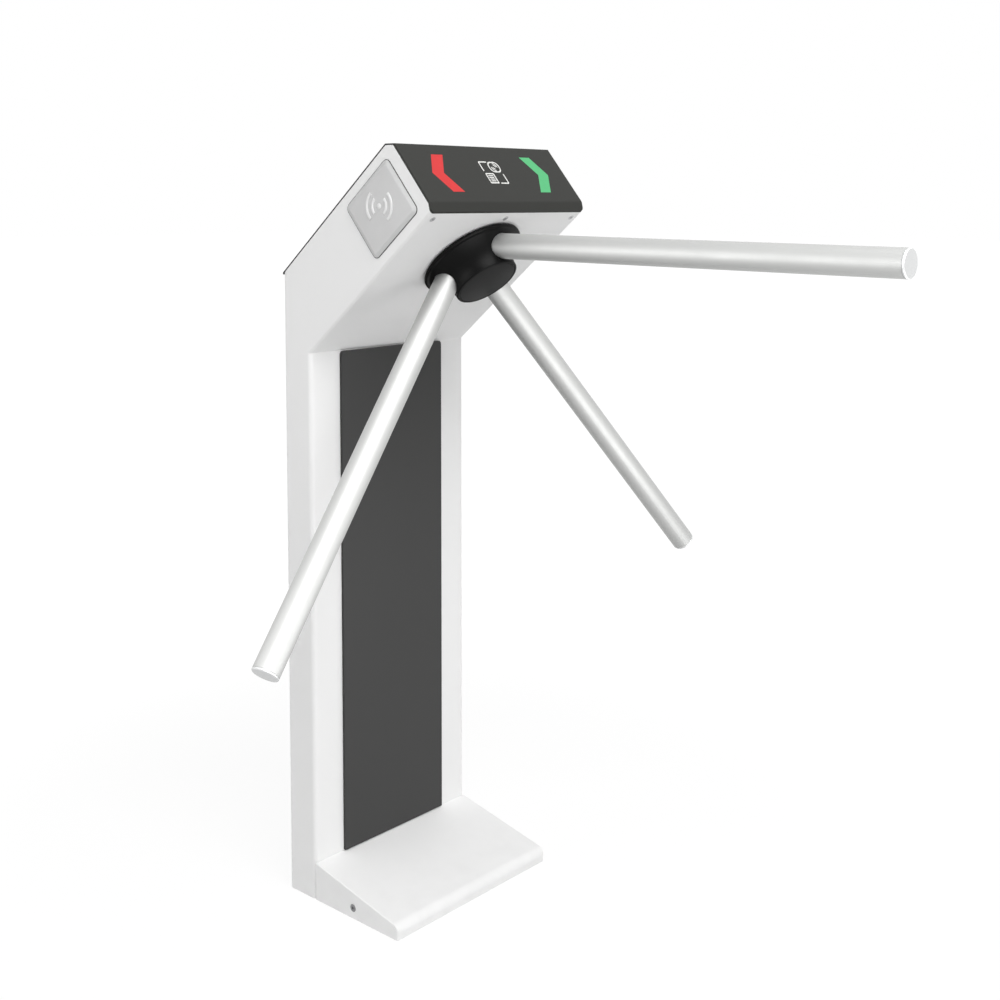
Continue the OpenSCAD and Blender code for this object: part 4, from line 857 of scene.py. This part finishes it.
class Shaper:
    """Shapes one piece's mesh with bmesh operators, in millimetres and degrees."""

    MERGE_DISTANCE = 0.001
    FULL_TURN = 360.0

    def __init__(self) -> None:
        """Starts with an empty mesh."""
        self.mesh = bmesh.new()

    def bevel(self, geom: Sequence, rounded: Rounded, width: float, steps: int) -> list:
        """Rounds corners or edges.

        Args:
            geom: The corners' vertices, or the edges.
            rounded: Which of the two they are.
            width: How far the rounding reaches.
            steps: Its segments.

        Returns:
            The new vertices.
        """
        result = bmesh.ops.bevel(
            self.mesh,
            geom=geom,
            offset=width,
            offset_type="OFFSET",
            segments=steps,
            profile=0.5,
            affect=rounded.value,
            material=-1,
        )
        return result["verts"]

    def sheet(self, width: float, height: float, radius: float, steps: int = 8) -> Face:
        """Makes a flat face with round corners, about the origin.

        Args:
            width: Its size along x.
            height: Its size along y.
            radius: Its corner radius.
            steps: The segments of a corner.

        Returns:
            The face.
        """
        made = bmesh.ops.create_grid(self.mesh, x_segments=1, y_segments=1, size=0.5)["verts"]
        bmesh.ops.scale(self.mesh, vec=(width, height, 1.0), verts=made)
        corners = set(self.bevel(made, Rounded.CORNERS, radius, steps))
        return next(face for face in self.mesh.faces if corners & set(face.verts))

    def rim(self, face: Face, width: float) -> list[Face]:
        """Insets a face.

        Args:
            face: The face, which becomes the inner one.
            width: How far it is inset.

        Returns:
            The faces of the rim.
        """
        made = bmesh.ops.inset_region(
            self.mesh, faces=[face], thickness=width, use_even_offset=True, use_boundary=True
        )
        return made["faces"]

    def outline(
        self, width: float, height: float, radius: float, line: float, steps: int = 8
    ) -> list[Face]:
        """Makes a flat frame with round corners, about the origin.

        Args:
            width: Its size along x.
            height: Its size along y.
            radius: Its outer corner radius.
            line: How wide its bars are.
            steps: The segments of a corner.

        Returns:
            Its faces.
        """
        inner = self.sheet(width, height, radius, steps)
        bars = self.rim(inner, line)
        self.drop([inner])
        return bars

    def pull(self, faces: Iterable[Face], offset: Sequence[float]) -> list[Face]:
        """Extrudes faces. The faces themselves stay where they are.

        Args:
            faces: The faces, as one region.
            offset: How far and which way.

        Returns:
            The moved faces.
        """
        made = bmesh.ops.extrude_face_region(self.mesh, geom=list(faces))["geom"]
        verts = [item for item in made if isinstance(item, bmesh.types.BMVert)]
        bmesh.ops.translate(self.mesh, vec=offset, verts=verts)
        return [item for item in made if isinstance(item, Face)]

    def drop(self, faces: Iterable[Face]) -> None:
        """Deletes faces and what only they hold."""
        bmesh.ops.delete(self.mesh, geom=list(faces), context="FACES")

    def points(self, profile: Iterable[Point]) -> list[bmesh.types.BMVert]:
        """Makes the vertices of a profile, as radius and height in the xz plane."""
        return [self.mesh.verts.new((radius, 0.0, height)) for radius, height in profile]

    def spin(self, geom: Sequence, turn: float, steps: int) -> None:
        """Spins vertices with their edges or face round the z axis.

        Args:
            geom: What is spun.
            turn: How far it turns. A full turn closes on itself.
            steps: The segments of the turn.
        """
        bmesh.ops.spin(
            self.mesh,
            geom=geom,
            cent=(0.0, 0.0, 0.0),
            axis=(0.0, 0.0, 1.0),
            angle=math.radians(turn),
            steps=steps,
            use_merge=turn == self.FULL_TURN,
        )

    def sweep(self, profile: Sequence[Point], start: float, turn: float, steps: int) -> None:
        """Sweeps a profile part of the way round the z axis.

        Args:
            profile: Its points as radius and height. Two give a flat band, and more give a solid.
            start: The angle that it starts at.
            turn: How far it turns.
            steps: The segments of the turn.
        """
        points = self.points(profile)
        bmesh.ops.rotate(self.mesh, matrix=Matrix.Rotation(math.radians(start), 3, "Z"), verts=points)
        if len(points) == 2:
            geom = [*points, self.mesh.edges.new(points)]
        else:
            face = self.mesh.faces.new(points)
            geom = [face, *face.edges, *face.verts]
        self.spin(geom, turn, steps)

    def lathe(self, profile: Sequence[Point], steps: int, ring: bool = False) -> None:
        """Turns a profile fully round the z axis.

        Args:
            profile: Its points as radius and height. Its ends lie on the axis, unless it is a ring.
            steps: The segments of the turn.
            ring: Whether its last point joins its first.
        """
        points = self.points(profile)
        following = [*points[1:], points[0]] if ring else points[1:]
        edges = [self.mesh.edges.new(pair) for pair in zip(points, following)]
        self.spin(points + edges, self.FULL_TURN, steps)

    def cut(self, point: Sequence[float], away: Sequence[float]) -> None:
        """Cuts the mesh with a plane and drops what lies on one side.

        Args:
            point: A point of the plane.
            away: Points towards the side that goes.
        """
        bmesh.ops.bisect_plane(
            self.mesh,
            geom=[*self.mesh.verts, *self.mesh.edges, *self.mesh.faces],
            plane_co=point,
            plane_no=away,
            clear_outer=True,
        )

    def merge(self) -> None:
        """Makes one vertex of those that coincide."""
        bmesh.ops.remove_doubles(self.mesh, verts=self.mesh.verts, dist=self.MERGE_DISTANCE)

    def move(self, matrix: Matrix) -> None:
        """Moves the whole mesh."""
        bmesh.ops.transform(self.mesh, matrix=matrix, verts=self.mesh.verts)

    def join(self, other: "Shaper") -> None:
        """Takes in another shaper's mesh, which is then spent.

        Args:
            other: The other shaper.
        """
        holder = bpy.data.meshes.new("joined")
        other.mesh.to_mesh(holder)
        other.mesh.free()
        self.mesh.from_mesh(holder)
        bpy.data.meshes.remove(holder)

    def done(self, name: str, matrix: Matrix, smooth: float = 35.0) -> bpy.types.Object:
        """Closes the mesh up and makes the piece from it.

        Args:
            name: The piece's name.
            matrix: Its place, from millimetres to metres.
            smooth: The largest angle that shades smoothly.

        Returns:
            The piece.
        """
        self.merge()
        self.move(matrix)
        bmesh.ops.recalc_face_normals(self.mesh, faces=self.mesh.faces)
        for face in self.mesh.faces:
            face.smooth = True
        for edge in self.mesh.edges:
            edge.smooth = edge.calc_face_angle(math.pi) < math.radians(smooth)
        data = bpy.data.meshes.new(name)
        self.mesh.to_mesh(data)
        self.mesh.free()
        return add_object(name, data)


class SubAssembly(ABC):
    """A group of the turnstile's parts, built and dressed together. Its sizes are in millimetres."""

    def coat(self, finish: Finish, *nodes: str) -> None:
        """Gives carried-over nodes their finish.

        Args:
            finish: The finish.
            nodes: The nodes' names.
        """
        for name in nodes:
            node = frame["nodes"][name]
            node.data.materials.clear()
            node.data.materials.append(finish.make())
            LOG.info("%s: %s", name, finish.name)

    def fit(self, piece: bpy.types.Object, finish: Finish, body: str, slot: str, *replaced: str) -> None:
        """Dresses a new piece, hangs it on its body and hides the nodes that it stands for.

        Args:
            piece: The new piece.
            finish: Its finish.
            body: The body that it rides on.
            slot: The record's material slot. It is not used.
            replaced: The nodes that it stands for.
        """
        piece.data.materials.append(finish.make())
        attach(piece, body)
        if replaced:
            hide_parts(*replaced)
        LOG.info("%s: new piece in %s, on %s", piece.name, finish.name, body)

    @abstractmethod
    def build(self) -> None:
        """Builds the new pieces and dresses everything in the group."""


@dataclass
class Cabinet(SubAssembly):
    """The white cabinet with its lid, front panel and end panel."""

    def build(self) -> None:
        """Dresses the cabinet's sheets, screws and clips."""
        self.coat(WHITE, "cabinet")
        self.coat(LID, "lid")
        self.coat(DARK, "front_panel")
        # The end panel takes the darker copy of the dark coat, as painted shade.
        self.coat(END_PAINTED_SHADE, "end_panel")
        self.coat(SHEET, "end_bracket")
        self.coat(NYLON, "panel_clips")
        self.coat(FASTENER, "end_screws")
        self.coat(BLACK_FASTENER, "lid_screws")


@dataclass
class Foot(SubAssembly):
    """The base plate and its cover."""

    def build(self) -> None:
        """Dresses the foot's cover, plate, screws, grommet and earth stud."""
        self.coat(WHITE, "foot_cover")
        self.coat(SHEET, "base_plate")
        self.coat(PLAIN_SCREW, "foot_screws")
        self.coat(RUBBER_AND_PAINTED_SHADOW, "cable_grommet")
        self.coat(BRASS, "earth_stud")


class Side(Enum):
    """A side of the head, by the sign of its y."""

    NEAR = -1
    FAR = 1

    @property
    def word(self) -> str:
        """The word for it in a piece's name."""
        return self.name.lower()


@dataclass
class Readers(SubAssembly):
    """The two reader pads in the head's sides."""

    pad: Span = field(default_factory=lambda: Span.of("reader_pad_far"))
    head: Span = field(default_factory=lambda: Span.of("cabinet"))
    pad_r: float = 7.0
    pad_smooth: float = 50.0
    wall: float = 0.9
    slope_w: float = 4.6
    edge: float = 1.3
    edge_steps: int = 4
    lip: float = 6.3
    # The size of the black ring round each pad, which is painted shadow.
    painted_shadow_w: float = 0.9
    painted_shadow_h: float = 0.5
    sign_x: float = 81.0
    sign_z: float = 918.0
    sign_h: float = 1.1
    sign_sink: float = 0.2
    stroke: float = 4.2
    stroke_steps: int = 6
    arcs: tuple[float, ...] = (12.0, 21.4)
    arc_middles: tuple[float, ...] = (0.0, 180.0)
    arc_reach: float = 47.0
    arc_steps: int = 24
    dot_r: float = 3.8
    dot_turn: float = 75.0
    dot_rings: int = 5
    dot_steps: int = 32

    def side_place(self, side: Side) -> Matrix:
        """Finds the frame of a side's pad, in which x runs up the slope and z out of the side."""
        turn = Matrix.Rotation(math.radians(-90.0 * side.value), 4, "X")
        return SLOPE.matrix(self.pad.middle.x, side.value * self.head.high.y, self.pad.middle.z) @ turn

    def cover(self, side: Side) -> bpy.types.Object:
        """Builds a pad with a rounded edge and the boss behind it.

        Args:
            side: The pad's side.

        Returns:
            The piece.
        """
        shaper = Shaper()
        back = shaper.sheet(self.pad.size.x, self.pad.size.z, self.pad_r)
        front = shaper.pull([back], (0.0, 0.0, self.wall))[0]
        shaper.rim(front, self.slope_w)
        rise = self.pad.high.y - self.head.high.y - self.wall
        bmesh.ops.translate(shaper.mesh, vec=(0.0, 0.0, rise), verts=front.verts)
        shaper.bevel(list(front.edges), Rounded.EDGES, self.edge, self.edge_steps)
        shaper.rim(back, self.lip)
        shaper.pull([back], (0.0, 0.0, self.pad.low.y - self.head.high.y))
        shaper.drop([back])
        return shaper.done(f"reader_cover_{side.word}", self.side_place(side), self.pad_smooth)

    def painted_shadow_ring(self, side: Side) -> bpy.types.Object:
        """Builds the thin black ring round a pad's foot, which is painted shadow for the gap round the
        pad.

        Args:
            side: The pad's side.

        Returns:
            The piece.
        """
        grow = 2.0 * self.painted_shadow_w
        shaper = Shaper()
        ring = shaper.outline(
            self.pad.size.x + grow, self.pad.size.z + grow, self.pad_r + self.painted_shadow_w, self.painted_shadow_w
        )
        shaper.pull(ring, (0.0, 0.0, self.painted_shadow_h))
        return shaper.done(f"reader_painted_shadow_ring_{side.word}", self.side_place(side))

    def waves(self, side: Side) -> bpy.types.Object:
        """Builds the raised sign of a contactless reader: a dot between two pairs of arcs.

        Args:
            side: The pad's side.

        Returns:
            The piece.
        """
        shaper = Shaper()
        for radius in self.arcs:
            swell = arc(
                (radius, 0.0), (self.stroke / 2.0, self.sign_h), 180.0, -180.0, self.stroke_steps
            )
            feet = [(swell[end][0], -self.sign_sink) for end in (0, -1)]
            profile = [feet[0], *swell[1:-1], feet[1]]
            for middle in self.arc_middles:
                shaper.sweep(profile, middle - self.arc_reach, 2.0 * self.arc_reach, self.arc_steps)
        dome = arc((0.0, 0.0), (self.dot_r, self.sign_h), 90.0, -self.dot_turn, self.dot_rings)
        shaper.lathe([*dome, (self.dot_r, -self.sign_sink), (0.0, -self.sign_sink)], self.dot_steps)
        way = side.value
        out = Matrix(((-way, 0, 0, 0), (0, 0, way, 0), (0, 1, 0, 0), (0, 0, 0, 1)))
        spot = Vector((self.sign_x, way * self.pad.high.y, self.sign_z)) * MM
        place = Matrix.Translation(spot) @ out @ Matrix.Scale(MM, 4)
        return shaper.done(f"reader_waves_{side.word}", place)

    def build(self) -> None:
        """Builds both pads with their painted shadow rings and signs, and dresses the boards behind."""
        for side in Side:
            self.fit(self.cover(side), PAD, "root", "pad_plastic", f"reader_pad_{side.word}")
            # The black ring round each pad is painted shadow for the gap round it.
            self.fit(self.painted_shadow_ring(side), RUBBER_AND_PAINTED_SHADOW, "root", "rubber_black")
            self.fit(self.waves(side), PAD_SIGN, "root", "pad_plastic")
            self.coat(BOARD_SIDE, f"reader_board_{side.word}")


@dataclass
class Indicators(SubAssembly):
    """The lit arrows and the printed card sign on the end panel."""

    panel: Span = field(default_factory=lambda: Span.of("end_panel"))
    sign_y: float = 3.0
    sign_n: float = 58.6
    sign_w: float = 35.0
    sign_h: float = 36.5
    sign_r: float = 2.0
    gap_share: float = 0.06
    line: float = 1.9
    line_steps: int = 4
    print_t: float = 0.12
    card_w: float = 16.0
    card_h: float = 16.8
    card_r: float = 1.6
    card_in: float = 0.4
    stripes: int = 4
    stripe_share: float = 0.56
    stripe_h: float = 1.5
    stripe_r: float = 0.3
    stripe_steps: int = 2
    stripe_top: float = 4.4
    stripe_pitch: float = 2.9
    tag_w: float = 21.0
    tag_h: float = 17.6
    tag_r_share: float = 0.44
    tag_steps: int = 10
    tag_place: Point = (7.6, 9.2)
    waves: tuple[float, ...] = (2.9, 5.7)
    wave_middles: tuple[float, ...] = (45.0, 225.0)
    wave_w: float = 1.5
    wave_reach: float = 50.0
    wave_steps: int = 12

    def bracket(self, left: bool) -> Shaper:
        """Shapes a corner of the sign's frame.

        Args:
            left: True for the upper left corner and False for the lower right one.

        Returns:
            The shaper with the corner.
        """
        shaper = Shaper()
        shaper.outline(self.sign_w, self.sign_h, self.sign_r, self.line, self.line_steps)
        way = -1.0 if left else 1.0
        shaper.cut((way * self.sign_w * self.gap_share, 0.0, 0.0), (-way, 0.0, 0.0))
        shaper.cut((0.0, -way * self.sign_h * self.gap_share, 0.0), (0.0, way, 0.0))
        return shaper

    def card(self) -> Shaper:
        """Shapes the small card at the sign's lower left.

        Returns:
            The shaper with the card's outline and stripes.
        """
        shaper = Shaper()
        shaper.outline(self.card_w, self.card_h, self.card_r, self.line, self.line_steps)
        for index in range(self.stripes):
            stripe = Shaper()
            stripe.sheet(self.card_w * self.stripe_share, self.stripe_h, self.stripe_r, self.stripe_steps)
            stripe.move(Matrix.Translation((0.0, self.stripe_top - self.stripe_pitch * index, 0.0)))
            shaper.join(stripe)
        across = (self.card_w - self.sign_w) / 2.0 + self.card_in
        up = (self.card_h - self.sign_h) / 2.0 + self.card_in
        shaper.move(Matrix.Translation((across, up, 0.0)))
        return shaper

    def tag(self) -> Shaper:
        """Shapes the round tag at the sign's upper right, with waves inside.

        Returns:
            The shaper with the tag.
        """
        shaper = Shaper()
        shaper.outline(self.tag_w, self.tag_h, self.tag_h * self.tag_r_share, self.line, self.tag_steps)
        for radius in self.waves:
            band = [(radius + way * self.wave_w / 2.0, 0.0) for way in (-1, 1)]
            for middle in self.wave_middles:
                shaper.sweep(band, middle - self.wave_reach, 2.0 * self.wave_reach, self.wave_steps)
        shaper.move(Matrix.Translation((*self.tag_place, 0.0)))
        return shaper

    def sign(self) -> bpy.types.Object:
        """Builds the printed sign.

        Returns:
            The piece.
        """
        shaper = Shaper()
        for part in (self.bracket(True), self.bracket(False), self.card(), self.tag()):
            shaper.join(part)
        shaper.merge()
        shaper.pull(shaper.mesh.faces, (0.0, 0.0, self.print_t))
        place = SLOPE.matrix(self.panel.high.x, self.sign_y, self.sign_n) @ FACING_FRONT
        return shaper.done("card_sign", place)

    def build(self) -> None:
        """Builds the sign, and dresses the lenses and their board."""
        self.fit(self.sign(), PRINT, "root", "pad_plastic")
        self.coat(RED, "red_arrow_lens")
        self.coat(GREEN, "green_arrow_lens")
        self.coat(BOARD_END, "indicator_board")


@dataclass
class Rotor(SubAssembly):
    """The hub, its three arms and what turns with them."""

    cap: Span = field(default_factory=lambda: Span.of("hub_cap"))
    nose_t: float = 2.45
    nose_steps: int = 96
    disc_r: float = 39.4
    disc_edge: float = 0.6
    disc_bulge_share: float = 0.3
    groove: float = 0.5
    groove_edge: float = 0.3
    rim_r: float = 2.2
    rim_steps: int = 6

    def disc(self) -> bpy.types.Object:
        """Builds the flat disc at the middle of the hub's nose.

        Returns:
            The piece.
        """
        bulge = self.disc_bulge_share * self.disc_edge
        profile = [
            (0.0, 0.0),
            (self.disc_r - self.disc_edge, 0.0),
            (self.disc_r - bulge, bulge),
            (self.disc_r, self.disc_edge),
            (self.disc_r, self.nose_t),
            (0.0, self.nose_t),
        ]
        shaper = Shaper()
        shaper.lathe(profile, self.nose_steps)
        return shaper.done("hub_nose_disc", SLOPE.on_axis(self.cap.low.z))

    def rim(self) -> bpy.types.Object:
        """Builds the rounded rim round that disc.

        Returns:
            The piece.
        """
        inner = self.disc_r + self.groove
        outer = self.cap.size.y / 2.0
        round_edge = arc(
            (outer - self.rim_r, self.rim_r), (self.rim_r, self.rim_r), -90.0, 90.0, self.rim_steps
        )
        profile = [
            (inner, self.groove_edge),
            (inner + self.groove_edge, 0.0),
            *round_edge,
            (outer, self.nose_t),
            (inner, self.nose_t),
        ]
        shaper = Shaper()
        shaper.lathe(profile, self.nose_steps, ring=True)
        return shaper.done("hub_nose_rim", SLOPE.on_axis(self.cap.low.z))

    def build(self) -> None:
        """Builds the nose, and dresses the hub, the arms and the shaft's parts."""
        self.fit(self.disc(), CAP, "rotor", "cap_plastic", "hub_cap")
        self.fit(self.rim(), HUB, "rotor", "hub_plastic", "hub_cap")
        self.coat(HUB, "hub_shell")
        self.coat(CAST, "hub_core")
        self.coat(FASTENER, "hub_bolt", "arm_bolts")
        for index, finish in enumerate(ARMS):
            self.coat(finish, f"arm_{index + 1}")
        self.coat(ARM_CAP, "arm_end_caps")
        self.coat(MACHINED, "main_shaft", "shaft_key")
        self.coat(BLACK_FASTENER, "shaft_circlip", "shaft_nut")
        self.coat(WHEEL, "lock_wheel")
        self.coat(BRONZE, "drive_gear")
        self.coat(SHEET, "encoder_disc")
        self.coat(RING, "bearing_inner_rings")


@dataclass
class Mechanism(SubAssembly):
    """The chassis, the bearings, the drive and the lock inside the head."""

    def build(self) -> None:
        """Dresses the mechanism."""
        self.coat(SHEET, "chassis_plate")
        self.coat(FASTENER, "chassis_pillars")
        self.coat(BLACK_FASTENER, "chassis_screws", "housing_screws", "motor_screws")
        self.coat(CAST, "bearing_housing")
        self.coat(RING, "bearing_outer_rings", "bearing_balls")
        self.coat(MACHINED, "pinion", "pawl_posts", "plunger_near", "plunger_far")
        self.coat(MOTOR, "gearmotor")
        self.coat(WHEEL, "pawl_near", "pawl_far")
        self.coat(FASTENER, "pawl_springs")
        self.coat(COIL, "solenoid_near", "solenoid_far")
        self.coat(SENSOR, "encoder_sensor")


@dataclass
class Electrics(SubAssembly):
    """The control board, the power supply and the wiring in the column."""

    def build(self) -> None:
        """Dresses the electrics."""
        self.coat(BOARD_WALL, "control_board")
        self.coat(SUPPLY, "power_supply")
        self.coat(TERMINAL, "terminal_block")
        self.coat(LOOM, "wiring_loom")


@dataclass
class Lamp:
    """A soft square lamp in metres and watts, which may light only what shines."""

    name: str
    place: tuple[float, float, float]
    aim: tuple[float, float, float]
    size: float
    power: float
    only_shine: bool = False

    def hang(self) -> None:
        """Hangs the lamp and turns it to what it lights."""
        data = bpy.data.lights.new(self.name, "AREA")
        data.shape = "SQUARE"
        data.size = self.size
        data.energy = self.power
        lamp = add_object(self.name, data)
        lamp.location = self.place
        lamp.visible_camera = False
        lamp.visible_diffuse = not self.only_shine
        way = Vector(self.aim) - Vector(self.place)
        lamp.rotation_euler = way.to_track_quat("-Z", "Y").to_euler()


@dataclass
class Studio:
    """The camera, the white floor and the soft light.

    The camera's sizes are in pixels of the photograph, radians and millimetres. The other lengths
    are in metres.
    """

    focal_px: float = 1378.586
    yaw: float = 0.830583
    pitch: float = 0.0872665
    centre_px: float = 471.829
    horizon_px: float = 321.801
    side_mm: float = -109.713
    away_mm: float = 1864.010
    eye_mm: float = 924.225
    front_mm: float = -50.5
    frame_px: float = 1000.0
    sensor: float = 36.0
    clip: tuple[float, float] = (0.05, 200.0)
    white: Colour = (1.0, 1.0, 1.0)
    fill: float = 0.47
    floor_half: float = 30.0
    floor_drop: float = 0.0003
    floor_colour: Colour = (0.74, 0.74, 0.74)
    floor_glow: float = 0.86
    floor_level: float = 1.05
    shadow_near: float = 0.5
    shadow_far: float = 1.5
    lamps: list[Lamp] = field(
        default_factory=lambda: [
            Lamp("key", (2.3, -0.9, 3.3), (0.0, 0.0, 0.5), 2.6, 114.0),
            Lamp("bounce", (1.05, 0.25, 0.05), (0.1, 0.1, 0.75), 0.9, 2.0),
            Lamp("side", (-1.6, -2.5, 0.85), (0.2, 0.0, 0.7), 2.0, 14.0),
            Lamp("level_arm", (-0.3, -1.8, 0.95), (0.45, 0.0, 0.88), 1.1, 15.0, only_shine=True),
            Lamp("far_arm", (0.95, 0.1, 0.06), (0.13, 0.23, 0.6), 0.7, 9.0, only_shine=True),
            Lamp("near_arm", (1.6, -0.25, 2.4), (0.12, -0.25, 0.6), 3.2, 66.0, only_shine=True),
        ]
    )

    def camera(self) -> None:
        """Sets the camera where the photograph was taken from."""
        data = bpy.data.cameras.new("camera")
        data.sensor_width = self.sensor
        data.lens = self.sensor * self.focal_px / self.frame_px
        data.shift_x = 0.5 - self.centre_px / self.frame_px
        data.shift_y = self.horizon_px / self.frame_px - 0.5
        data.clip_start, data.clip_end = self.clip
        sin_a, cos_a = math.sin(self.yaw), math.cos(self.yaw)
        right = Vector((sin_a, cos_a, 0.0))
        level = Vector((-cos_a, sin_a, 0.0))
        ahead = level * math.cos(self.pitch) - Vector((0.0, 0.0, math.sin(self.pitch)))
        upward = right.cross(ahead)
        place = Vector((self.front_mm, 0.0, self.eye_mm)) - right * self.side_mm - level * self.away_mm
        turn = Matrix((right, upward, -ahead)).transposed().to_4x4()
        camera = add_object("camera", data)
        camera.matrix_world = Matrix.Translation(place * MM) @ turn
        bpy.context.scene.camera = camera

    def seen(self, graph: Graph) -> Value:
        """Tells rays that show the background from those that light the object.

        Args:
            graph: The graph to add the nodes to.

        Returns:
            1 for camera, glossy and transmission rays, and 0 for the rest.
        """
        path = graph.node("ShaderNodeLightPath").outputs
        shown = Value(graph, path["Is Camera Ray"]) + Value(graph, path["Is Glossy Ray"])
        total = shown + Value(graph, path["Is Transmission Ray"])
        return total.maths("MINIMUM", total, 1.0)

    def sky(self) -> None:
        """Makes the world white to look at and plain soft light on the object."""
        world = bpy.data.worlds.new("studio")
        world.use_nodes = True
        bpy.context.scene.world = world
        graph = Graph(world.node_tree)
        light, backdrop = (
            graph.node("ShaderNodeBackground", None, {"Color": self.white, "Strength": strength})
            for strength in (self.fill, 1.0)
        )
        graph.close("ShaderNodeOutputWorld", self.seen(graph), light, backdrop)

    def floor(self) -> None:
        """Lays the floor, which shows nearly white and keeps a faint shadow."""
        mesh = bmesh.new()
        bmesh.ops.create_grid(mesh, x_segments=1, y_segments=1, size=self.floor_half)
        bmesh.ops.translate(mesh, vec=(0.0, 0.0, -self.floor_drop), verts=mesh.verts)
        data = bpy.data.meshes.new("floor")
        mesh.to_mesh(data)
        mesh.free()
        material = bpy.data.materials.new("floor_white")
        material.use_nodes = True
        graph = Graph(material.node_tree)
        matt = graph.node("ShaderNodeBsdfDiffuse", None, {"Color": self.floor_colour})
        glow = graph.node(
            "ShaderNodeEmission", None, {"Color": self.white, "Strength": self.floor_level}
        )
        x, y, _ = graph.split(graph.place())
        far = ((x * x + y * y) ** 0.5).ramp(self.shadow_near, self.shadow_far)
        share = self.seen(graph) * (self.floor_glow + far * (1.0 - self.floor_glow))
        graph.close("ShaderNodeOutputMaterial", share, matt, glow)
        data.materials.append(material)
        floor = add_object("floor", data)

    def build(self) -> None:
        """Sets up the camera, the sky, the floor and the lamps."""
        bpy.context.scene.view_settings.view_transform = "Standard"
        self.camera()
        self.sky()
        self.floor()
        for lamp in self.lamps:
            lamp.hang()


def main() -> None:
    """Builds the studio and each sub-assembly in order."""
    logging.basicConfig(level=logging.INFO, format="%(name)s: %(message)s")
    Studio().build()
    groups: list[SubAssembly] = [
        Cabinet(),
        Foot(),
        Readers(),
        Indicators(),
        Rotor(),
        Mechanism(),
        Electrics(),
    ]
    for group in groups:
        LOG.info("sub-assembly %s", type(group).__name__)
        group.build()


if __name__ == "__main__":
    main()
